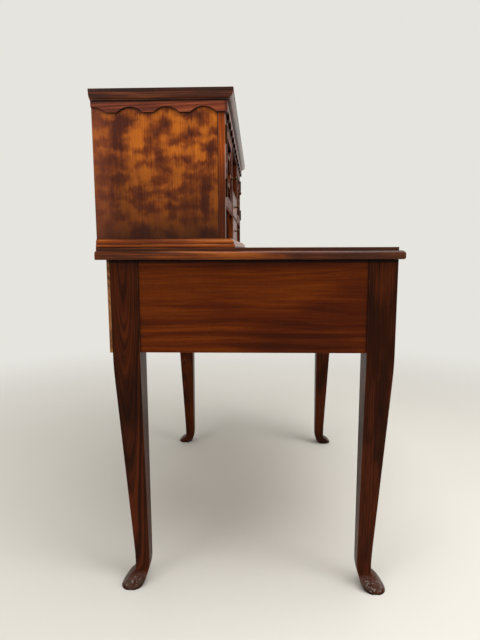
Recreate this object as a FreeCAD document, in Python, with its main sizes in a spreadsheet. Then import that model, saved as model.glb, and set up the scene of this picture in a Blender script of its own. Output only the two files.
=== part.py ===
import FreeCAD, Part
import math
import os
import re

import Sketcher

# A bonheur du jour: a small writing desk on four legs with a raised case of doors, drawers and
# pigeonholes along its back. Millimetres, +Z up, X along the desk, -Y towards the sitter.
# The origin is on the floor under the middle of the desktop.

SIZES = {
    # the desktop
    "desk_length": 914,
    "desk_depth": 615,
    "desk_height": 752,
    "top_thickness": 24,
    "top_fillet_height": 6.5,
    "top_fillet_inset": 11,
    "nosing_radius": 7,
    "nosing_under_radius": 4,
    "end_overhang": 13,
    "front_overhang": 10.5,
    "back_overhang": 25.5,
    # the writing leather
    "leather_border": 48,
    "leather_thickness": 1.2,
    # the legs
    "leg_square": 57,
    "leg_curve_radius": 980,
    "ankle_width": 31.5,
    "ankle_height": 37,
    "instep_run": 5,
    "instep_drop": 10,
    "toe_top_radius": 118,
    "toe_projection": 4,
    "toe_lip_height": 4,
    "toe_tip_radius": 5,
    "toe_tip_setback": 1,
    "heel_curve_radius": 110,
    "heel_setback": 15,
    "rounding_allowance": 0.8,
    # the frame under the desktop
    "apron_height": 191,
    "apron_thickness": 20,
    "apron_setback": 2.5,
    "back_board_thickness": 6,
    "back_rail_height": 40,
    "back_rail_thickness": 20,
    "top_rail_height": 18,
    "bottom_rail_height": 20,
    "divider_width": 22,
    "runner_bearing": 5,
    "guide_height": 30,
    "stop_height": 7,
    "stop_width": 30,
    "stop_depth": 18,
    "stop_offset": 95,
    # the two frieze drawers
    "drawer_gap": 1.2,
    "drawer_rest_gap": 0.3,
    "drawer_depth": 430,
    "drawer_front_thickness": 20,
    "drawer_side_thickness": 9,
    "drawer_side_drop": 4,
    "drawer_bottom_thickness": 5,
    "drawer_bottom_lift": 11,
    "drawer_groove_depth": 4,
    "drawer_bead_width": 3,
    "drawer_bead_height": 1.5,
    "drawer_knob_spread": 190,
    "drawer_knob_radius": 14,
    "drawer_knob_projection": 20,
    # the raised case
    "case_end_inset": 19,
    "case_depth": 261,
    "case_base_thickness": 18,
    "case_base_torus_height": 6.5,
    "case_base_torus_swell": 1.3,
    "case_base_quirk_height": 1.3,
    "case_base_quirk_depth": 2.4,
    "case_base_lip_height": 1.2,
    "case_base_end_projection": 7.5,
    "case_base_end_ledge": 1,
    "case_base_front_projection": 19.5,
    "case_base_front_ledge": 10,
    "case_height": 301,
    "case_side_thickness": 13,
    "case_stile_width": 20,
    "case_stile_depth": 13,
    "case_back_thickness": 6,
    "centre_width": 281,
    "partition_thickness": 11,
    "lower_tier_height": 61,
    "shelf_thickness": 5,
    "pigeonhole_divider_thickness": 4,
    "pigeonhole_divider_setback": 2,
    "case_top_rail_height": 22,
    "cornice_height": 21,
    "cornice_projection": 12,
    "cornice_band_height": 5,
    "cornice_lip": 1,
    "cornice_ovolo_projection": 4.5,
    "cornice_fillet_height": 2.5,
    "cornice_fillet_projection": 3,
    "cornice_neck_height": 2,
    "cornice_neck_setback": 1,
    # the scalloped frieze
    "frieze_end_thickness": 4,
    "frieze_front_thickness": 6,
    "frieze_drop": 20,
    "scallop_rise": 10.5,
    "scallop_flat": 22,
    "scallops_along_front": 12,
    # the two small drawers
    "small_gap": 0.8,
    "small_depth": 225,
    "small_front_thickness": 14,
    "small_side_thickness": 6,
    "small_bottom_thickness": 4,
    "small_bottom_lift": 5,
    "small_groove_depth": 3,
    "small_bead_width": 2,
    "small_bead_height": 1,
    "small_side_drop": 3,
    "small_knob_radius": 5.5,
    "small_knob_projection": 14,
    # the two glazed doors
    "door_thickness": 16,
    "door_gap": 1,
    "door_frame_width": 24,
    "glass_thickness": 2.5,
    "glass_lap": 5,
    "glazing_bar_width": 7,
    "glazing_bar_depth": 6,
    "glazing_bar_reveal": 1,
    "hexagon_half_length": 62,
    "hexagon_half_flat": 34,
    "hexagon_half_height": 31,
    # the butt hinges
    "hinge_length": 36,
    "hinge_leaf_thickness": 0.8,
    "hinge_leaf_width": 10,
    "hinge_gap": 2,
    "hinge_barrel_radius": 2.2,
    "hinge_pin_radius": 1,
    "hinge_pin_clearance": 0.05,
    "hinge_knuckle_gap": 0.3,
    "hinge_proud": 2,
    "hinge_inset": 16,
}

# Places that follow from the sizes.
UNDER_TOP = "(desk_height - top_thickness)"
APRON_BOTTOM = f"({UNDER_TOP} - apron_height)"
FRONT_EDGE = "(0 - desk_depth / 2)"
BACK_EDGE = "(desk_depth / 2)"
LEG_OUTER_X = "(desk_length / 2 - end_overhang)"
LEG_INNER_X = f"({LEG_OUTER_X} - leg_square)"
LEG_FRONT_Y = f"({FRONT_EDGE} + front_overhang)"
LEG_BACK_Y = f"({BACK_EDGE} - back_overhang)"
FRONT_LEG_INNER_Y = f"({LEG_FRONT_Y} + leg_square)"
BACK_LEG_INNER_Y = f"({LEG_BACK_Y} - leg_square)"
APRON_INNER_X = f"({LEG_OUTER_X} - apron_setback - apron_thickness)"
RAIL_FRONT_Y = f"({LEG_FRONT_Y} + apron_setback)"
RAIL_DEPTH = f"({FRONT_LEG_INNER_Y} - {RAIL_FRONT_Y})"
BACK_RAIL_Y = f"({LEG_BACK_Y} - back_rail_thickness)"
OPENING_BOTTOM = f"({APRON_BOTTOM} + bottom_rail_height)"
OPENING_TOP = f"({UNDER_TOP} - top_rail_height)"
DRAWER_BOTTOM = f"({OPENING_BOTTOM} + drawer_rest_gap)"
DRAWER_INNER_X = "(divider_width / 2 + drawer_gap)"
DRAWER_OUTER_X = f"({LEG_INNER_X} - drawer_gap)"
DRAWER_MIDDLE_X = f"(({DRAWER_INNER_X} + {DRAWER_OUTER_X}) / 2)"
DRAWER_WIDTH = f"({DRAWER_OUTER_X} - {DRAWER_INNER_X})"
DRAWER_HEIGHT = f"({OPENING_TOP} - drawer_gap - {DRAWER_BOTTOM})"
DRAWER_BOX_Y = f"({RAIL_FRONT_Y} + drawer_front_thickness)"

CASE_OUTER_X = "(desk_length / 2 - case_end_inset)"
CASE_FRONT_Y = f"({BACK_EDGE} - case_depth)"
CASE_FLOOR = "(desk_height + case_base_thickness)"
CASE_TOP = "(desk_height + case_height)"
CASE_CEILING = f"({CASE_TOP} - cornice_height)"
CASE_BACK_Y = f"({BACK_EDGE} - case_back_thickness)"
CASE_INNER_X = f"({CASE_OUTER_X} - case_side_thickness)"
STILE_INNER_X = f"({CASE_OUTER_X} - case_stile_width)"
STILE_BACK_Y = f"({CASE_FRONT_Y} + case_stile_depth)"
TOP_RAIL_BOTTOM = f"({CASE_CEILING} - case_top_rail_height)"
CENTRE_X = "(centre_width / 2)"
PARTITION_OUTER_X = f"({CENTRE_X} + partition_thickness)"
FRIEZE_OUTER_X = f"({CASE_OUTER_X} + frieze_end_thickness)"
FRIEZE_FRONT_Y = f"({CASE_FRONT_Y} - frieze_front_thickness)"
SHELF_BOTTOM = f"({CASE_FLOOR} + lower_tier_height)"
SHELF_TOP = f"({SHELF_BOTTOM} + shelf_thickness)"
CENTRE_SHELF_BOTTOM = f"({SHELF_TOP} + lower_tier_height)"
SCALLOP_PITCH = f"((2 * {FRIEZE_OUTER_X} - scallop_flat) / scallops_along_front)"

DOOR_HINGE_X = f"({STILE_INNER_X} - hinge_gap)"
DOOR_FREE_X = f"({PARTITION_OUTER_X} + door_gap)"
DOOR_BOTTOM = f"({SHELF_TOP} + door_gap)"
DOOR_TOP = f"({TOP_RAIL_BOTTOM} - door_gap)"
DOOR_MIDDLE_X = f"(({DOOR_HINGE_X} + {DOOR_FREE_X}) / 2)"
DOOR_MIDDLE_Z = f"(({DOOR_BOTTOM} + {DOOR_TOP}) / 2)"
DOOR_BACK_Y = f"({CASE_FRONT_Y} + door_thickness)"
GLASS_FRONT_Y = f"({CASE_FRONT_Y} + glazing_bar_reveal + glazing_bar_depth)"
HINGE_AXIS_X = f"({STILE_INNER_X} - hinge_gap / 2)"
HINGE_AXIS_Y = f"({CASE_FRONT_Y} - hinge_proud)"
HINGE_PLATE_Y = f"({CASE_FRONT_Y} - hinge_proud + hinge_barrel_radius + hinge_knuckle_gap)"
KNUCKLE_LENGTH = "((hinge_length - 2 * hinge_knuckle_gap) / 3)"

doc = FreeCAD.newDocument("BonheurDuJour")
sheet = doc.addObject("Spreadsheet::Sheet", "Sizes")
pieces = []


def fill_sheet():
    """Writes each driving size into the sheet, with its name as the cell's alias."""
    for row, (alias, value) in enumerate(SIZES.items(), start=1):
        sheet.set(f"A{row}", alias.replace("_", " "))
        sheet.set(f"B{row}", str(value))
        sheet.setAlias(f"B{row}", alias)
    doc.recompute()


def formula(text):
    """Turns the size names in a formula into references to the sheet."""

    def reference(word):
        return f"Sizes.{word[0]}" if word[0] in SIZES else word[0]

    return re.sub(r"[a-z][a-z_]*", reference, str(text))


def number(text):
    return float(sheet.evalExpression(formula(text)))


def bind(thing, **formulas):
    for name, text in formulas.items():
        thing.setExpression(name.replace("__", "."), formula(text))


def put(thing, x="0", y="0", z="0"):
    bind(thing, Placement__Base__x=x, Placement__Base__y=y, Placement__Base__z=z)


def keep(piece, label):
    """Names a finished sub-part and puts it on the list of files to write."""
    piece.Label = label
    pieces.append(piece)
    return piece


def board(x, y, z, width, depth, height, name="board"):
    """A plain board from its lowest corner and its size along X, Y and Z."""
    box = doc.addObject("Part::Box", name)
    bind(box, Length=width, Width=depth, Height=height)
    put(box, x, y, z)
    return box


def group(label, members):
    """Several separate pieces of one kind that share a file."""
    compound = doc.addObject("Part::Compound", label)
    compound.Links = members
    return keep(compound, label)


def sketch_on(body, role, offset="0"):
    """A sketch on one of the body's own origin planes, moved along the plane's normal."""
    sketch = body.newObject("Sketcher::SketchObject", body.Name + "_sketch")
    plane = next(item for item in body.Origin.OriginFeatures if item.Role == role)
    sketch.AttachmentSupport = (plane, "")
    sketch.MapMode = "FlatFace"
    bind(sketch, AttachmentOffset__Base__z=offset)
    return sketch


def hold(sketch, edge, end, kind, text):
    """Holds one coordinate of an edge's end at a formula, measured from the sketch's origin."""
    if text == "0":
        axis = -2 if kind == "DistanceX" else -1
        sketch.addConstraint(Sketcher.Constraint("PointOnObject", edge, end, axis))
        return
    index = sketch.addConstraint(Sketcher.Constraint(kind, -1, 1, edge, end, number(text)))
    sketch.setExpression(f"Constraints[{index}]", formula(text))


def outline(sketch, start, *steps):
    """Draws a closed chain from start. A step is (u, v) for a straight edge to that point, or
    (u, v, radius, turn) for an arc of less than half a circle that bends to the "left" or "right".
    A chain that doesn't end at start is closed by a straight edge."""
    if steps[-1][:2] != start:
        steps = (*steps, start)
    corners = [start] + [step[:2] for step in steps]
    places = [FreeCAD.Vector(number(u), number(v), 0) for u, v in corners]
    first = sketch.GeometryCount
    begins = []
    for index, step in enumerate(steps):
        here, there = places[index], places[index + 1]
        if len(step) == 2:
            sketch.addGeometry(Part.LineSegment(here, there), False)
            begins.append(1)
            continue
        radius, turn = number(step[2]), step[3]
        chord = there - here
        reach = math.sqrt(radius**2 - (chord.Length / 2) ** 2)
        side = FreeCAD.Vector(-chord.y, chord.x, 0).normalize() * (reach if turn == "left" else -reach)
        centre = (here + there) * 0.5 + side
        low, high = (here, there) if turn == "left" else (there, here)
        angles = [math.atan2(point.y - centre.y, point.x - centre.x) for point in (low, high)]
        if angles[1] < angles[0]:
            angles[1] += 2 * math.pi
        circle = Part.Circle(centre, FreeCAD.Vector(0, 0, 1), radius)
        edge = sketch.addGeometry(Part.ArcOfCircle(circle, *angles), False)
        begins.append(1 if turn == "left" else 2)
        held = sketch.addConstraint(Sketcher.Constraint("Radius", edge, radius))
        sketch.setExpression(f"Constraints[{held}]", formula(step[2]))
    count = len(begins)
    for index, begin in enumerate(begins):
        before = (index - 1) % count
        ends = (first + before, 3 - begins[before], first + index, begin)
        sketch.addConstraint(Sketcher.Constraint("Coincident", *ends))
        hold(sketch, first + index, begin, "DistanceX", corners[index][0])
        hold(sketch, first + index, begin, "DistanceY", corners[index][1])


def pad(body, sketch, length, reverse=False, both_ways=False):
    feature = body.newObject("PartDesign::Pad", body.Name + "_pad")
    feature.Profile = sketch
    feature.Reversed = reverse
    feature.Midplane = both_ways
    bind(feature, Length=length)
    return feature


def pocket(body, sketch, length, reverse=False, both_ways=False):
    feature = body.newObject("PartDesign::Pocket", body.Name + "_pocket")
    feature.Profile = sketch
    feature.Reversed = reverse
    feature.Midplane = both_ways
    bind(feature, Length=length)
    return feature


def new_body(name):
    return doc.addObject("PartDesign::Body", name)


def rectangle(u_low, v_low, u_high, v_high):
    return (u_low, v_low), (u_high, v_low), (u_high, v_high), (u_low, v_high)


def prism(name, role, start, length, corners):
    """A straight-sided piece: a polygon on one plane, drawn out along the plane's axis from start."""
    body = new_body(name)
    into_normal = role != "XZ_Plane"
    sketch = sketch_on(body, role, start if into_normal else f"0 - {start}")
    outline(sketch, *corners)
    pad(body, sketch, length, reverse=not into_normal)
    return body


def bow(from_u, from_v, to_u, to_v, turn, fullness="0.75"):
    """An arc step whose radius is a share of its chord, so it keeps its shape at any size."""
    return to_u, to_v, f"({fullness} * sqrt(({to_u} - {from_u}) ^ 2 + ({to_v} - {from_v}) ^ 2))", turn


# ---------------------------------------------------------------- moulded boards


def climb(profile, edge, inward):
    """The steps up a moulded edge. A profile entry is (inset, level), with "out" or "in" for a
    curve that swells or hollows on its way up to it."""
    steps = []
    for entry in profile:
        point = (f"({edge} {inward} {entry[0]})", entry[1])
        if len(entry) == 3:
            point = bow(*steps[-1][:2], *point, "right" if entry[2] == "out" else "left")
        steps.append(point)
    return steps


def descend(profile, edge, inward):
    """The same edge from its top down to its foot."""
    steps = []
    curve = None
    for entry in reversed(profile):
        point = (f"({edge} {inward} {entry[0]})", entry[1])
        if curve:
            point = bow(*steps[-1][:2], *point, "right" if curve == "out" else "left")
        curve = entry[2] if len(entry) == 3 else None
        steps.append(point)
    return steps


def moulded_slab(name, front_profile, end_profile, front, back, half_length):
    """A board with its front and both ends moulded and its back left square: the moulding along
    the front and the moulding across the ends meet in a mitre at each front corner."""
    across = new_body(name + "_front_shape")
    sketch = sketch_on(across, "YZ_Plane")
    top = front_profile[-1][1]
    foot = front_profile[0][1]
    outline(sketch, *climb(front_profile, front, "+"), (back, top), (back, foot))
    pad(across, sketch, f"2 * {half_length}", both_ways=True)
    along = new_body(name + "_end_shape")
    sketch = sketch_on(along, "XZ_Plane", f"0 - {back}")
    left = climb(end_profile, f"(0 - {half_length})", "+")
    outline(sketch, *left, *descend(end_profile, half_length, "-"))
    pad(along, sketch, f"{back} - {front}")
    slab = doc.addObject("Part::Common", name)
    slab.Base = across
    slab.Tool = along
    return slab


def make_desktop():
    """The desktop: a rounded nosing under a thin square fillet, and a shallow bed for the leather."""
    shoulder = "(desk_height - top_fillet_height)"
    edge = [
        ("nosing_under_radius", UNDER_TOP),
        ("0", f"({UNDER_TOP} + nosing_under_radius)", "out"),
        ("0", f"({shoulder} - nosing_radius)"),
        ("nosing_radius", shoulder, "out"),
        ("top_fillet_inset", shoulder),
        ("top_fillet_inset", "desk_height"),
    ]
    slab = moulded_slab("desktop_slab", edge, edge, FRONT_EDGE, BACK_EDGE, "(desk_length / 2)")
    half = "(desk_length / 2 - top_fillet_inset - leather_border)"
    low_y = f"({FRONT_EDGE} + top_fillet_inset + leather_border)"
    high_y = f"({CASE_FRONT_Y} - case_base_front_projection - leather_border)"
    leather = [f"0 - {half}", low_y, "desk_height - leather_thickness", f"2 * {half}", f"{high_y} - {low_y}"]
    desktop = doc.addObject("Part::Cut", "desktop")
    desktop.Base = slab
    desktop.Tool = board(*leather, "2 * leather_thickness", "leather_bed")
    keep(desktop, "desktop")
    keep(board(*leather, "leather_thickness", "writing_leather"), "writing_leather")


def make_cornice():
    """The case's top board, its edge worked to a sunk neck, a thin fillet, an ovolo and a square
    band. It lies on the case and on the frieze's top edge."""
    neck = "(cornice_projection + cornice_neck_setback)"
    neck_top = f"({CASE_CEILING} + cornice_neck_height)"
    fillet = "(cornice_projection - cornice_fillet_projection)"
    fillet_top = f"({neck_top} + cornice_fillet_height)"
    ovolo_top = f"({CASE_TOP} - cornice_band_height)"
    edge = [
        (neck, CASE_CEILING),
        (neck, neck_top),
        (fillet, neck_top),
        (fillet, fillet_top),
        ("(cornice_projection - cornice_ovolo_projection)", fillet_top),
        ("cornice_lip", ovolo_top, "out"),
        ("0", ovolo_top),
        ("0", CASE_TOP),
    ]
    front = f"({FRIEZE_FRONT_Y} - cornice_projection)"
    half = f"({FRIEZE_OUTER_X} + cornice_projection)"
    keep(moulded_slab("cornice", edge, edge, front, BACK_EDGE, half), "cornice")


def case_base_edge(side):
    """The base board's edge at its front or its ends: a torus, a quirk and an ovolo that runs back
    to the ledge."""
    reach = f"(case_base_{side}_projection - case_base_{side}_ledge)"
    torus_top = "(desk_height + case_base_torus_height)"
    quirk_top = f"({torus_top} + case_base_quirk_height)"
    return [
        ("case_base_torus_swell", "desk_height"),
        ("case_base_torus_swell", torus_top, "out"),
        ("case_base_quirk_depth", torus_top),
        ("case_base_quirk_depth", quirk_top),
        (reach, f"({CASE_FLOOR} - case_base_lip_height)", "out"),
        (reach, CASE_FLOOR),
    ]


def make_case_base():
    front = f"({CASE_FRONT_Y} - case_base_front_projection)"
    half = f"({CASE_OUTER_X} + case_base_end_projection)"
    front_edge = case_base_edge("front")
    end_edge = case_base_edge("end")
    keep(moulded_slab("case_base", front_edge, end_edge, front, BACK_EDGE, half), "case_base")


# ---------------------------------------------------------------- legs


LEG_DROP = f"({APRON_BOTTOM} - ankle_height)"
LEG_SPREAD = "(2 * leg_curve_radius - leg_square + ankle_width)"
LEG_SLOPE = (
    f"(atan({LEG_DROP} / {LEG_SPREAD})"
    f" - acos(2 * leg_curve_radius / sqrt({LEG_SPREAD} ^ 2 + {LEG_DROP} ^ 2)))"
)
TAPER_SHIFT = f"(leg_curve_radius * (1 - cos({LEG_SLOPE})))"
TAPER_RISE = f"(leg_curve_radius * sin({LEG_SLOPE}))"
HEEL_TOP = "sqrt(2 * heel_curve_radius * heel_setback - heel_setback ^ 2)"
INSTEP_RADIUS = "((instep_run ^ 2 + instep_drop ^ 2) / (2 * instep_run))"
TOE_REACH = "(leg_square + toe_projection)"
SOLE_CENTRE = f"((heel_setback + {TOE_REACH}) / 2)"
SOLE_RADIUS = f"(({TOE_REACH} - heel_setback) / 2 + rounding_allowance)"
ROUNDING_CENTRE = f"({TOE_REACH} / (1 + sqrt(2)))"
ROUNDING_RADIUS = f"({TOE_REACH} - {ROUNDING_CENTRE} + rounding_allowance)"


def draw_leg(sketch):
    """One face of the leg as it is sawn: straight inside down to the heel, and outside straight to
    the apron's foot, tapering in an easy line to the ankle, then swept out over the toe."""
    outline(
        sketch,
        ("heel_setback", "0"),
        (f"({TOE_REACH} - toe_tip_setback)", "0"),
        (TOE_REACH, "toe_lip_height", "toe_tip_radius", "left"),
        ("(ankle_width + instep_run)", "(ankle_height - instep_drop)", "toe_top_radius", "left"),
        ("ankle_width", "ankle_height", INSTEP_RADIUS, "right"),
        (f"(ankle_width + {TAPER_SHIFT})", f"(ankle_height + {TAPER_RISE})", "leg_curve_radius", "right"),
        (f"(leg_square - {TAPER_SHIFT})", f"({APRON_BOTTOM} - {TAPER_RISE})"),
        ("leg_square", APRON_BOTTOM, "leg_curve_radius", "left"),
        ("leg_square", UNDER_TOP),
        ("0", UNDER_TOP),
        ("0", HEEL_TOP),
        ("heel_setback", "0", "heel_curve_radius", "left"),
    )


def rounding_ring(name, centre, radius, z):
    ring = doc.addObject("Part::Circle", name)
    bind(ring, Radius=radius)
    put(ring, centre, centre, z)
    return ring


def foot_waste(name):
    """What is rasped off below the ankle: all that lies outside a leaning cone, which holds the
    whole ankle at its top and runs down to the round sole."""
    rounding = doc.addObject("Part::Loft", name + "_rounding")
    rounding.Sections = [
        rounding_ring(name + "_sole", SOLE_CENTRE, SOLE_RADIUS, "0"),
        rounding_ring(name + "_ankle", ROUNDING_CENTRE, ROUNDING_RADIUS, "ankle_height"),
    ]
    rounding.Solid = True
    rounding.Ruled = True
    block = f"2 * {TOE_REACH}"
    waste = doc.addObject("Part::Cut", name)
    waste.Base = board("0", "0", "0", block, block, "ankle_height", name + "_block")
    waste.Tool = rounding
    return waste


def make_leg(label, quarter_turns, x, y):
    """A leg, sawn to the same outline on two faces that meet at its outer corner, with the foot
    rounded below the ankle. It stands with its inner corner on its own origin and is turned into
    place."""
    first = new_body(label + "_first_saw")
    sketch = sketch_on(first, "XZ_Plane")
    draw_leg(sketch)
    pad(first, sketch, TOE_REACH, reverse=True)
    second = new_body(label + "_second_saw")
    sketch = sketch_on(second, "YZ_Plane")
    draw_leg(sketch)
    pad(second, sketch, TOE_REACH)
    sawn = doc.addObject("Part::Common", label + "_sawn")
    sawn.Base = first
    sawn.Tool = second
    leg = doc.addObject("Part::Cut", label)
    leg.Base = sawn
    leg.Tool = foot_waste(label + "_waste")
    upward = FreeCAD.Vector(0, 0, 1)
    leg.Placement = FreeCAD.Placement(FreeCAD.Vector(), FreeCAD.Rotation(upward, 90 * quarter_turns))
    put(leg, x, y)
    keep(leg, label)


def make_legs():
    make_leg("leg_back_right", 0, LEG_INNER_X, BACK_LEG_INNER_Y)
    make_leg("leg_back_left", 1, f"0 - {LEG_INNER_X}", BACK_LEG_INNER_Y)
    make_leg("leg_front_left", 2, f"0 - {LEG_INNER_X}", FRONT_LEG_INNER_Y)
    make_leg("leg_front_right", 3, LEG_INNER_X, FRONT_LEG_INNER_Y)


# ---------------------------------------------------------------- frame under the desktop


def sided(side, low_x, width):
    """The lowest X of a piece of that width, on the right at low_x or mirrored on the left."""
    return low_x if side == "right" else f"0 - {low_x} - ({width})"


def make_frame():
    span = f"2 * {LEG_INNER_X}"
    left = f"0 - {LEG_INNER_X}"
    between_legs = f"{BACK_LEG_INNER_Y} - {FRONT_LEG_INNER_Y}"
    for side in ("left", "right"):
        x = sided(side, APRON_INNER_X, "apron_thickness")
        apron = board(x, FRONT_LEG_INNER_Y, APRON_BOTTOM, "apron_thickness", between_legs, "apron_height")
        keep(apron, f"side_apron_{side}")
    rail = board(left, RAIL_FRONT_Y, OPENING_TOP, span, RAIL_DEPTH, "top_rail_height")
    keep(rail, "front_rail_top")
    rail = board(left, RAIL_FRONT_Y, APRON_BOTTOM, span, RAIL_DEPTH, "bottom_rail_height")
    keep(rail, "front_rail_bottom")
    opening = f"{OPENING_TOP} - {OPENING_BOTTOM}"
    middle = "0 - divider_width / 2"
    upright = board(middle, RAIL_FRONT_Y, OPENING_BOTTOM, "divider_width", RAIL_DEPTH, opening)
    keep(upright, "drawer_divider")
    levels = (APRON_BOTTOM, f"{UNDER_TOP} - back_rail_height")
    rails = [board(left, BACK_RAIL_Y, z, span, "back_rail_thickness", "back_rail_height") for z in levels]
    group("back_rails", rails)
    corner = (f"0 - {LEG_OUTER_X}", LEG_BACK_Y, APRON_BOTTOM)
    back = board(*corner, f"2 * {LEG_OUTER_X}", "back_board_thickness", "apron_height")
    keep(back, "back_board")


def make_drawer_ways():
    """What carries and steers the frieze drawers: runners under their sides, kickers over them so
    that they don't tip, guides beside them, and stops behind their fronts."""
    lane = f"({DRAWER_OUTER_X} - drawer_side_thickness - runner_bearing)"
    side_width = f"({APRON_INNER_X} - {lane})"
    side_run = f"{BACK_LEG_INNER_Y} - {FRONT_LEG_INNER_Y}"
    middle_half = f"({DRAWER_INNER_X} + drawer_side_thickness + runner_bearing)"
    middle_run = f"{BACK_RAIL_Y} - {FRONT_LEG_INNER_Y}"
    levels = {
        "drawer_runners": (APRON_BOTTOM, "bottom_rail_height"),
        "drawer_kickers": (OPENING_TOP, "top_rail_height"),
    }
    for label, (z, height) in levels.items():
        strips = [board(f"0 - {middle_half}", FRONT_LEG_INNER_Y, z, f"2 * {middle_half}", middle_run, height)]
        for side in ("left", "right"):
            x = sided(side, lane, side_width)
            strips.append(board(x, FRONT_LEG_INNER_Y, z, side_width, side_run, height))
        group(label, strips)
    guide_width = f"({APRON_INNER_X} - {LEG_INNER_X})"
    height = "guide_height"
    middle = "0 - divider_width / 2"
    guides = [board(middle, FRONT_LEG_INNER_Y, OPENING_BOTTOM, "divider_width", middle_run, height)]
    for side in ("left", "right"):
        x = sided(side, LEG_INNER_X, guide_width)
        guides.append(board(x, FRONT_LEG_INNER_Y, OPENING_BOTTOM, guide_width, side_run, height))
    group("drawer_guides", guides)
    stops = []
    stop_y = f"{DRAWER_BOX_Y} + drawer_rest_gap"
    for side in ("left", "right"):
        for offset in ("- stop_offset", "+ stop_offset"):
            x = sided(side, f"({DRAWER_MIDDLE_X} {offset} - stop_width / 2)", "stop_width")
            stops.append(board(x, stop_y, OPENING_BOTTOM, "stop_width", "stop_depth", "stop_height"))
    group("drawer_stops", stops)


# ---------------------------------------------------------------- drawers and their knobs


# A turned knob's rose, neck and head, as shares of its radius and of how far it stands out.
ROSE_RADIUS = 0.62
ROSE_TOP = 0.1
NECK_RADIUS = 0.4
HEAD_FOOT = 0.55


def turned_knob(name, radius, projection, x, y, z):
    """A turned knob: a rose, a slim neck and a disc of a head, standing out towards the sitter."""
    body = new_body(name)
    sketch = sketch_on(body, "XZ_Plane")
    rose, neck = (f"({share} * {radius})" for share in (ROSE_RADIUS, NECK_RADIUS))
    rose_top, head_foot = (f"({share} * {projection})" for share in (ROSE_TOP, HEAD_FOOT))
    outline(
        sketch,
        ("0", "0"),
        (rose, "0"),
        (rose, rose_top),
        (neck, rose_top),
        (neck, head_foot),
        (radius, head_foot),
        (radius, projection),
        ("0", projection),
    )
    turning = body.newObject("PartDesign::Revolution", name + "_turning")
    turning.Profile = sketch
    turning.ReferenceAxis = (sketch, ["V_Axis"])
    turning.Angle = 360
    body.Placement = FreeCAD.Placement(FreeCAD.Vector(), FreeCAD.Rotation(FreeCAD.Vector(1, 0, 0), 90))
    put(body, x, y, z)
    return body


def make_drawer_front(label, low_x, front_y, low_z, width, height, kind):
    """A drawer front with a raised bead round its edge."""
    high_x = f"({low_x} + {width})"
    high_z = f"({low_z} + {height})"
    thickness = f"({kind}_front_thickness + {kind}_bead_height)"
    bead = f"{kind}_bead_width"
    front = new_body(label)
    face = sketch_on(front, "XZ_Plane", f"0 - {front_y} - {kind}_front_thickness")
    outline(face, *rectangle(low_x, low_z, high_x, high_z))
    pad(front, face, thickness)
    field = sketch_on(front, "XZ_Plane", f"0 - {front_y}")
    inner = rectangle(f"{low_x} + {bead}", f"{low_z} + {bead}", f"{high_x} - {bead}", f"{high_z} - {bead}")
    outline(field, *inner)
    pocket(front, field, f"2 * {kind}_bead_height", reverse=True)
    keep(front, label)


def make_drawer_side(name, outer_x, inward, box_y, length, low_z, height, kind):
    """A drawer side with the groove that holds the bottom."""
    inner = f"({outer_x} {inward} {kind}_side_thickness)"
    deep = f"({outer_x} {inward} ({kind}_side_thickness - {kind}_groove_depth))"
    groove_low = f"({low_z} + {kind}_bottom_lift)"
    groove_high = f"({groove_low} + {kind}_bottom_thickness)"
    top = f"({low_z} + {height})"
    corners = [
        (outer_x, low_z),
        (inner, low_z),
        (inner, groove_low),
        (deep, groove_low),
        (deep, groove_high),
        (inner, groove_high),
        (inner, top),
        (outer_x, top),
    ]
    return prism(name, "XZ_Plane", box_y, length, corners)


def make_drawer(name, low_x, width, front_y, low_z, height, kind):
    """A drawer: front, two grooved sides, a back that stands on the bottom, and the bottom."""
    high_x = f"({low_x} + {width})"
    box_y = f"({front_y} + {kind}_front_thickness)"
    length = f"({kind}_depth - {kind}_front_thickness)"
    side_height = f"({height} - {kind}_side_drop)"
    make_drawer_front(f"{name}_front", low_x, front_y, low_z, width, height, kind)
    left = make_drawer_side(f"{name}_side_a", low_x, "+", box_y, length, low_z, side_height, kind)
    right = make_drawer_side(f"{name}_side_b", high_x, "-", box_y, length, low_z, side_height, kind)
    bottom_z = f"({low_z} + {kind}_bottom_lift)"
    inner_x = f"({low_x} + {kind}_side_thickness)"
    inner_width = f"({width} - 2 * {kind}_side_thickness)"
    back_z = f"({bottom_z} + {kind}_bottom_thickness)"
    back_y = f"({front_y} + {kind}_depth - {kind}_side_thickness)"
    back_height = f"{low_z} + {side_height} - {back_z} - {kind}_side_drop"
    back = board(inner_x, back_y, back_z, inner_width, f"{kind}_side_thickness", back_height)
    group(f"{name}_box", [left, right, back])
    bottom_x = f"{inner_x} - {kind}_groove_depth"
    bottom_width = f"{inner_width} + 2 * {kind}_groove_depth"
    keep(board(bottom_x, box_y, bottom_z, bottom_width, length, f"{kind}_bottom_thickness"), f"{name}_bottom")


def make_frieze_drawers():
    for side in ("left", "right"):
        low_x = sided(side, DRAWER_INNER_X, DRAWER_WIDTH)
        name = f"drawer_{side}"
        make_drawer(name, f"({low_x})", DRAWER_WIDTH, RAIL_FRONT_Y, DRAWER_BOTTOM, DRAWER_HEIGHT, "drawer")
        middle = f"({low_x} + {DRAWER_WIDTH} / 2)"
        z = f"{DRAWER_BOTTOM} + {DRAWER_HEIGHT} / 2"
        sizes = ("drawer_knob_radius", "drawer_knob_projection")
        places = [f"{middle} {offset} drawer_knob_spread / 2" for offset in ("-", "+")]
        knobs = [turned_knob(f"{name}_knob", *sizes, x, RAIL_FRONT_Y, z) for x in places]
        group(f"{name}_knobs", knobs)


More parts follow.
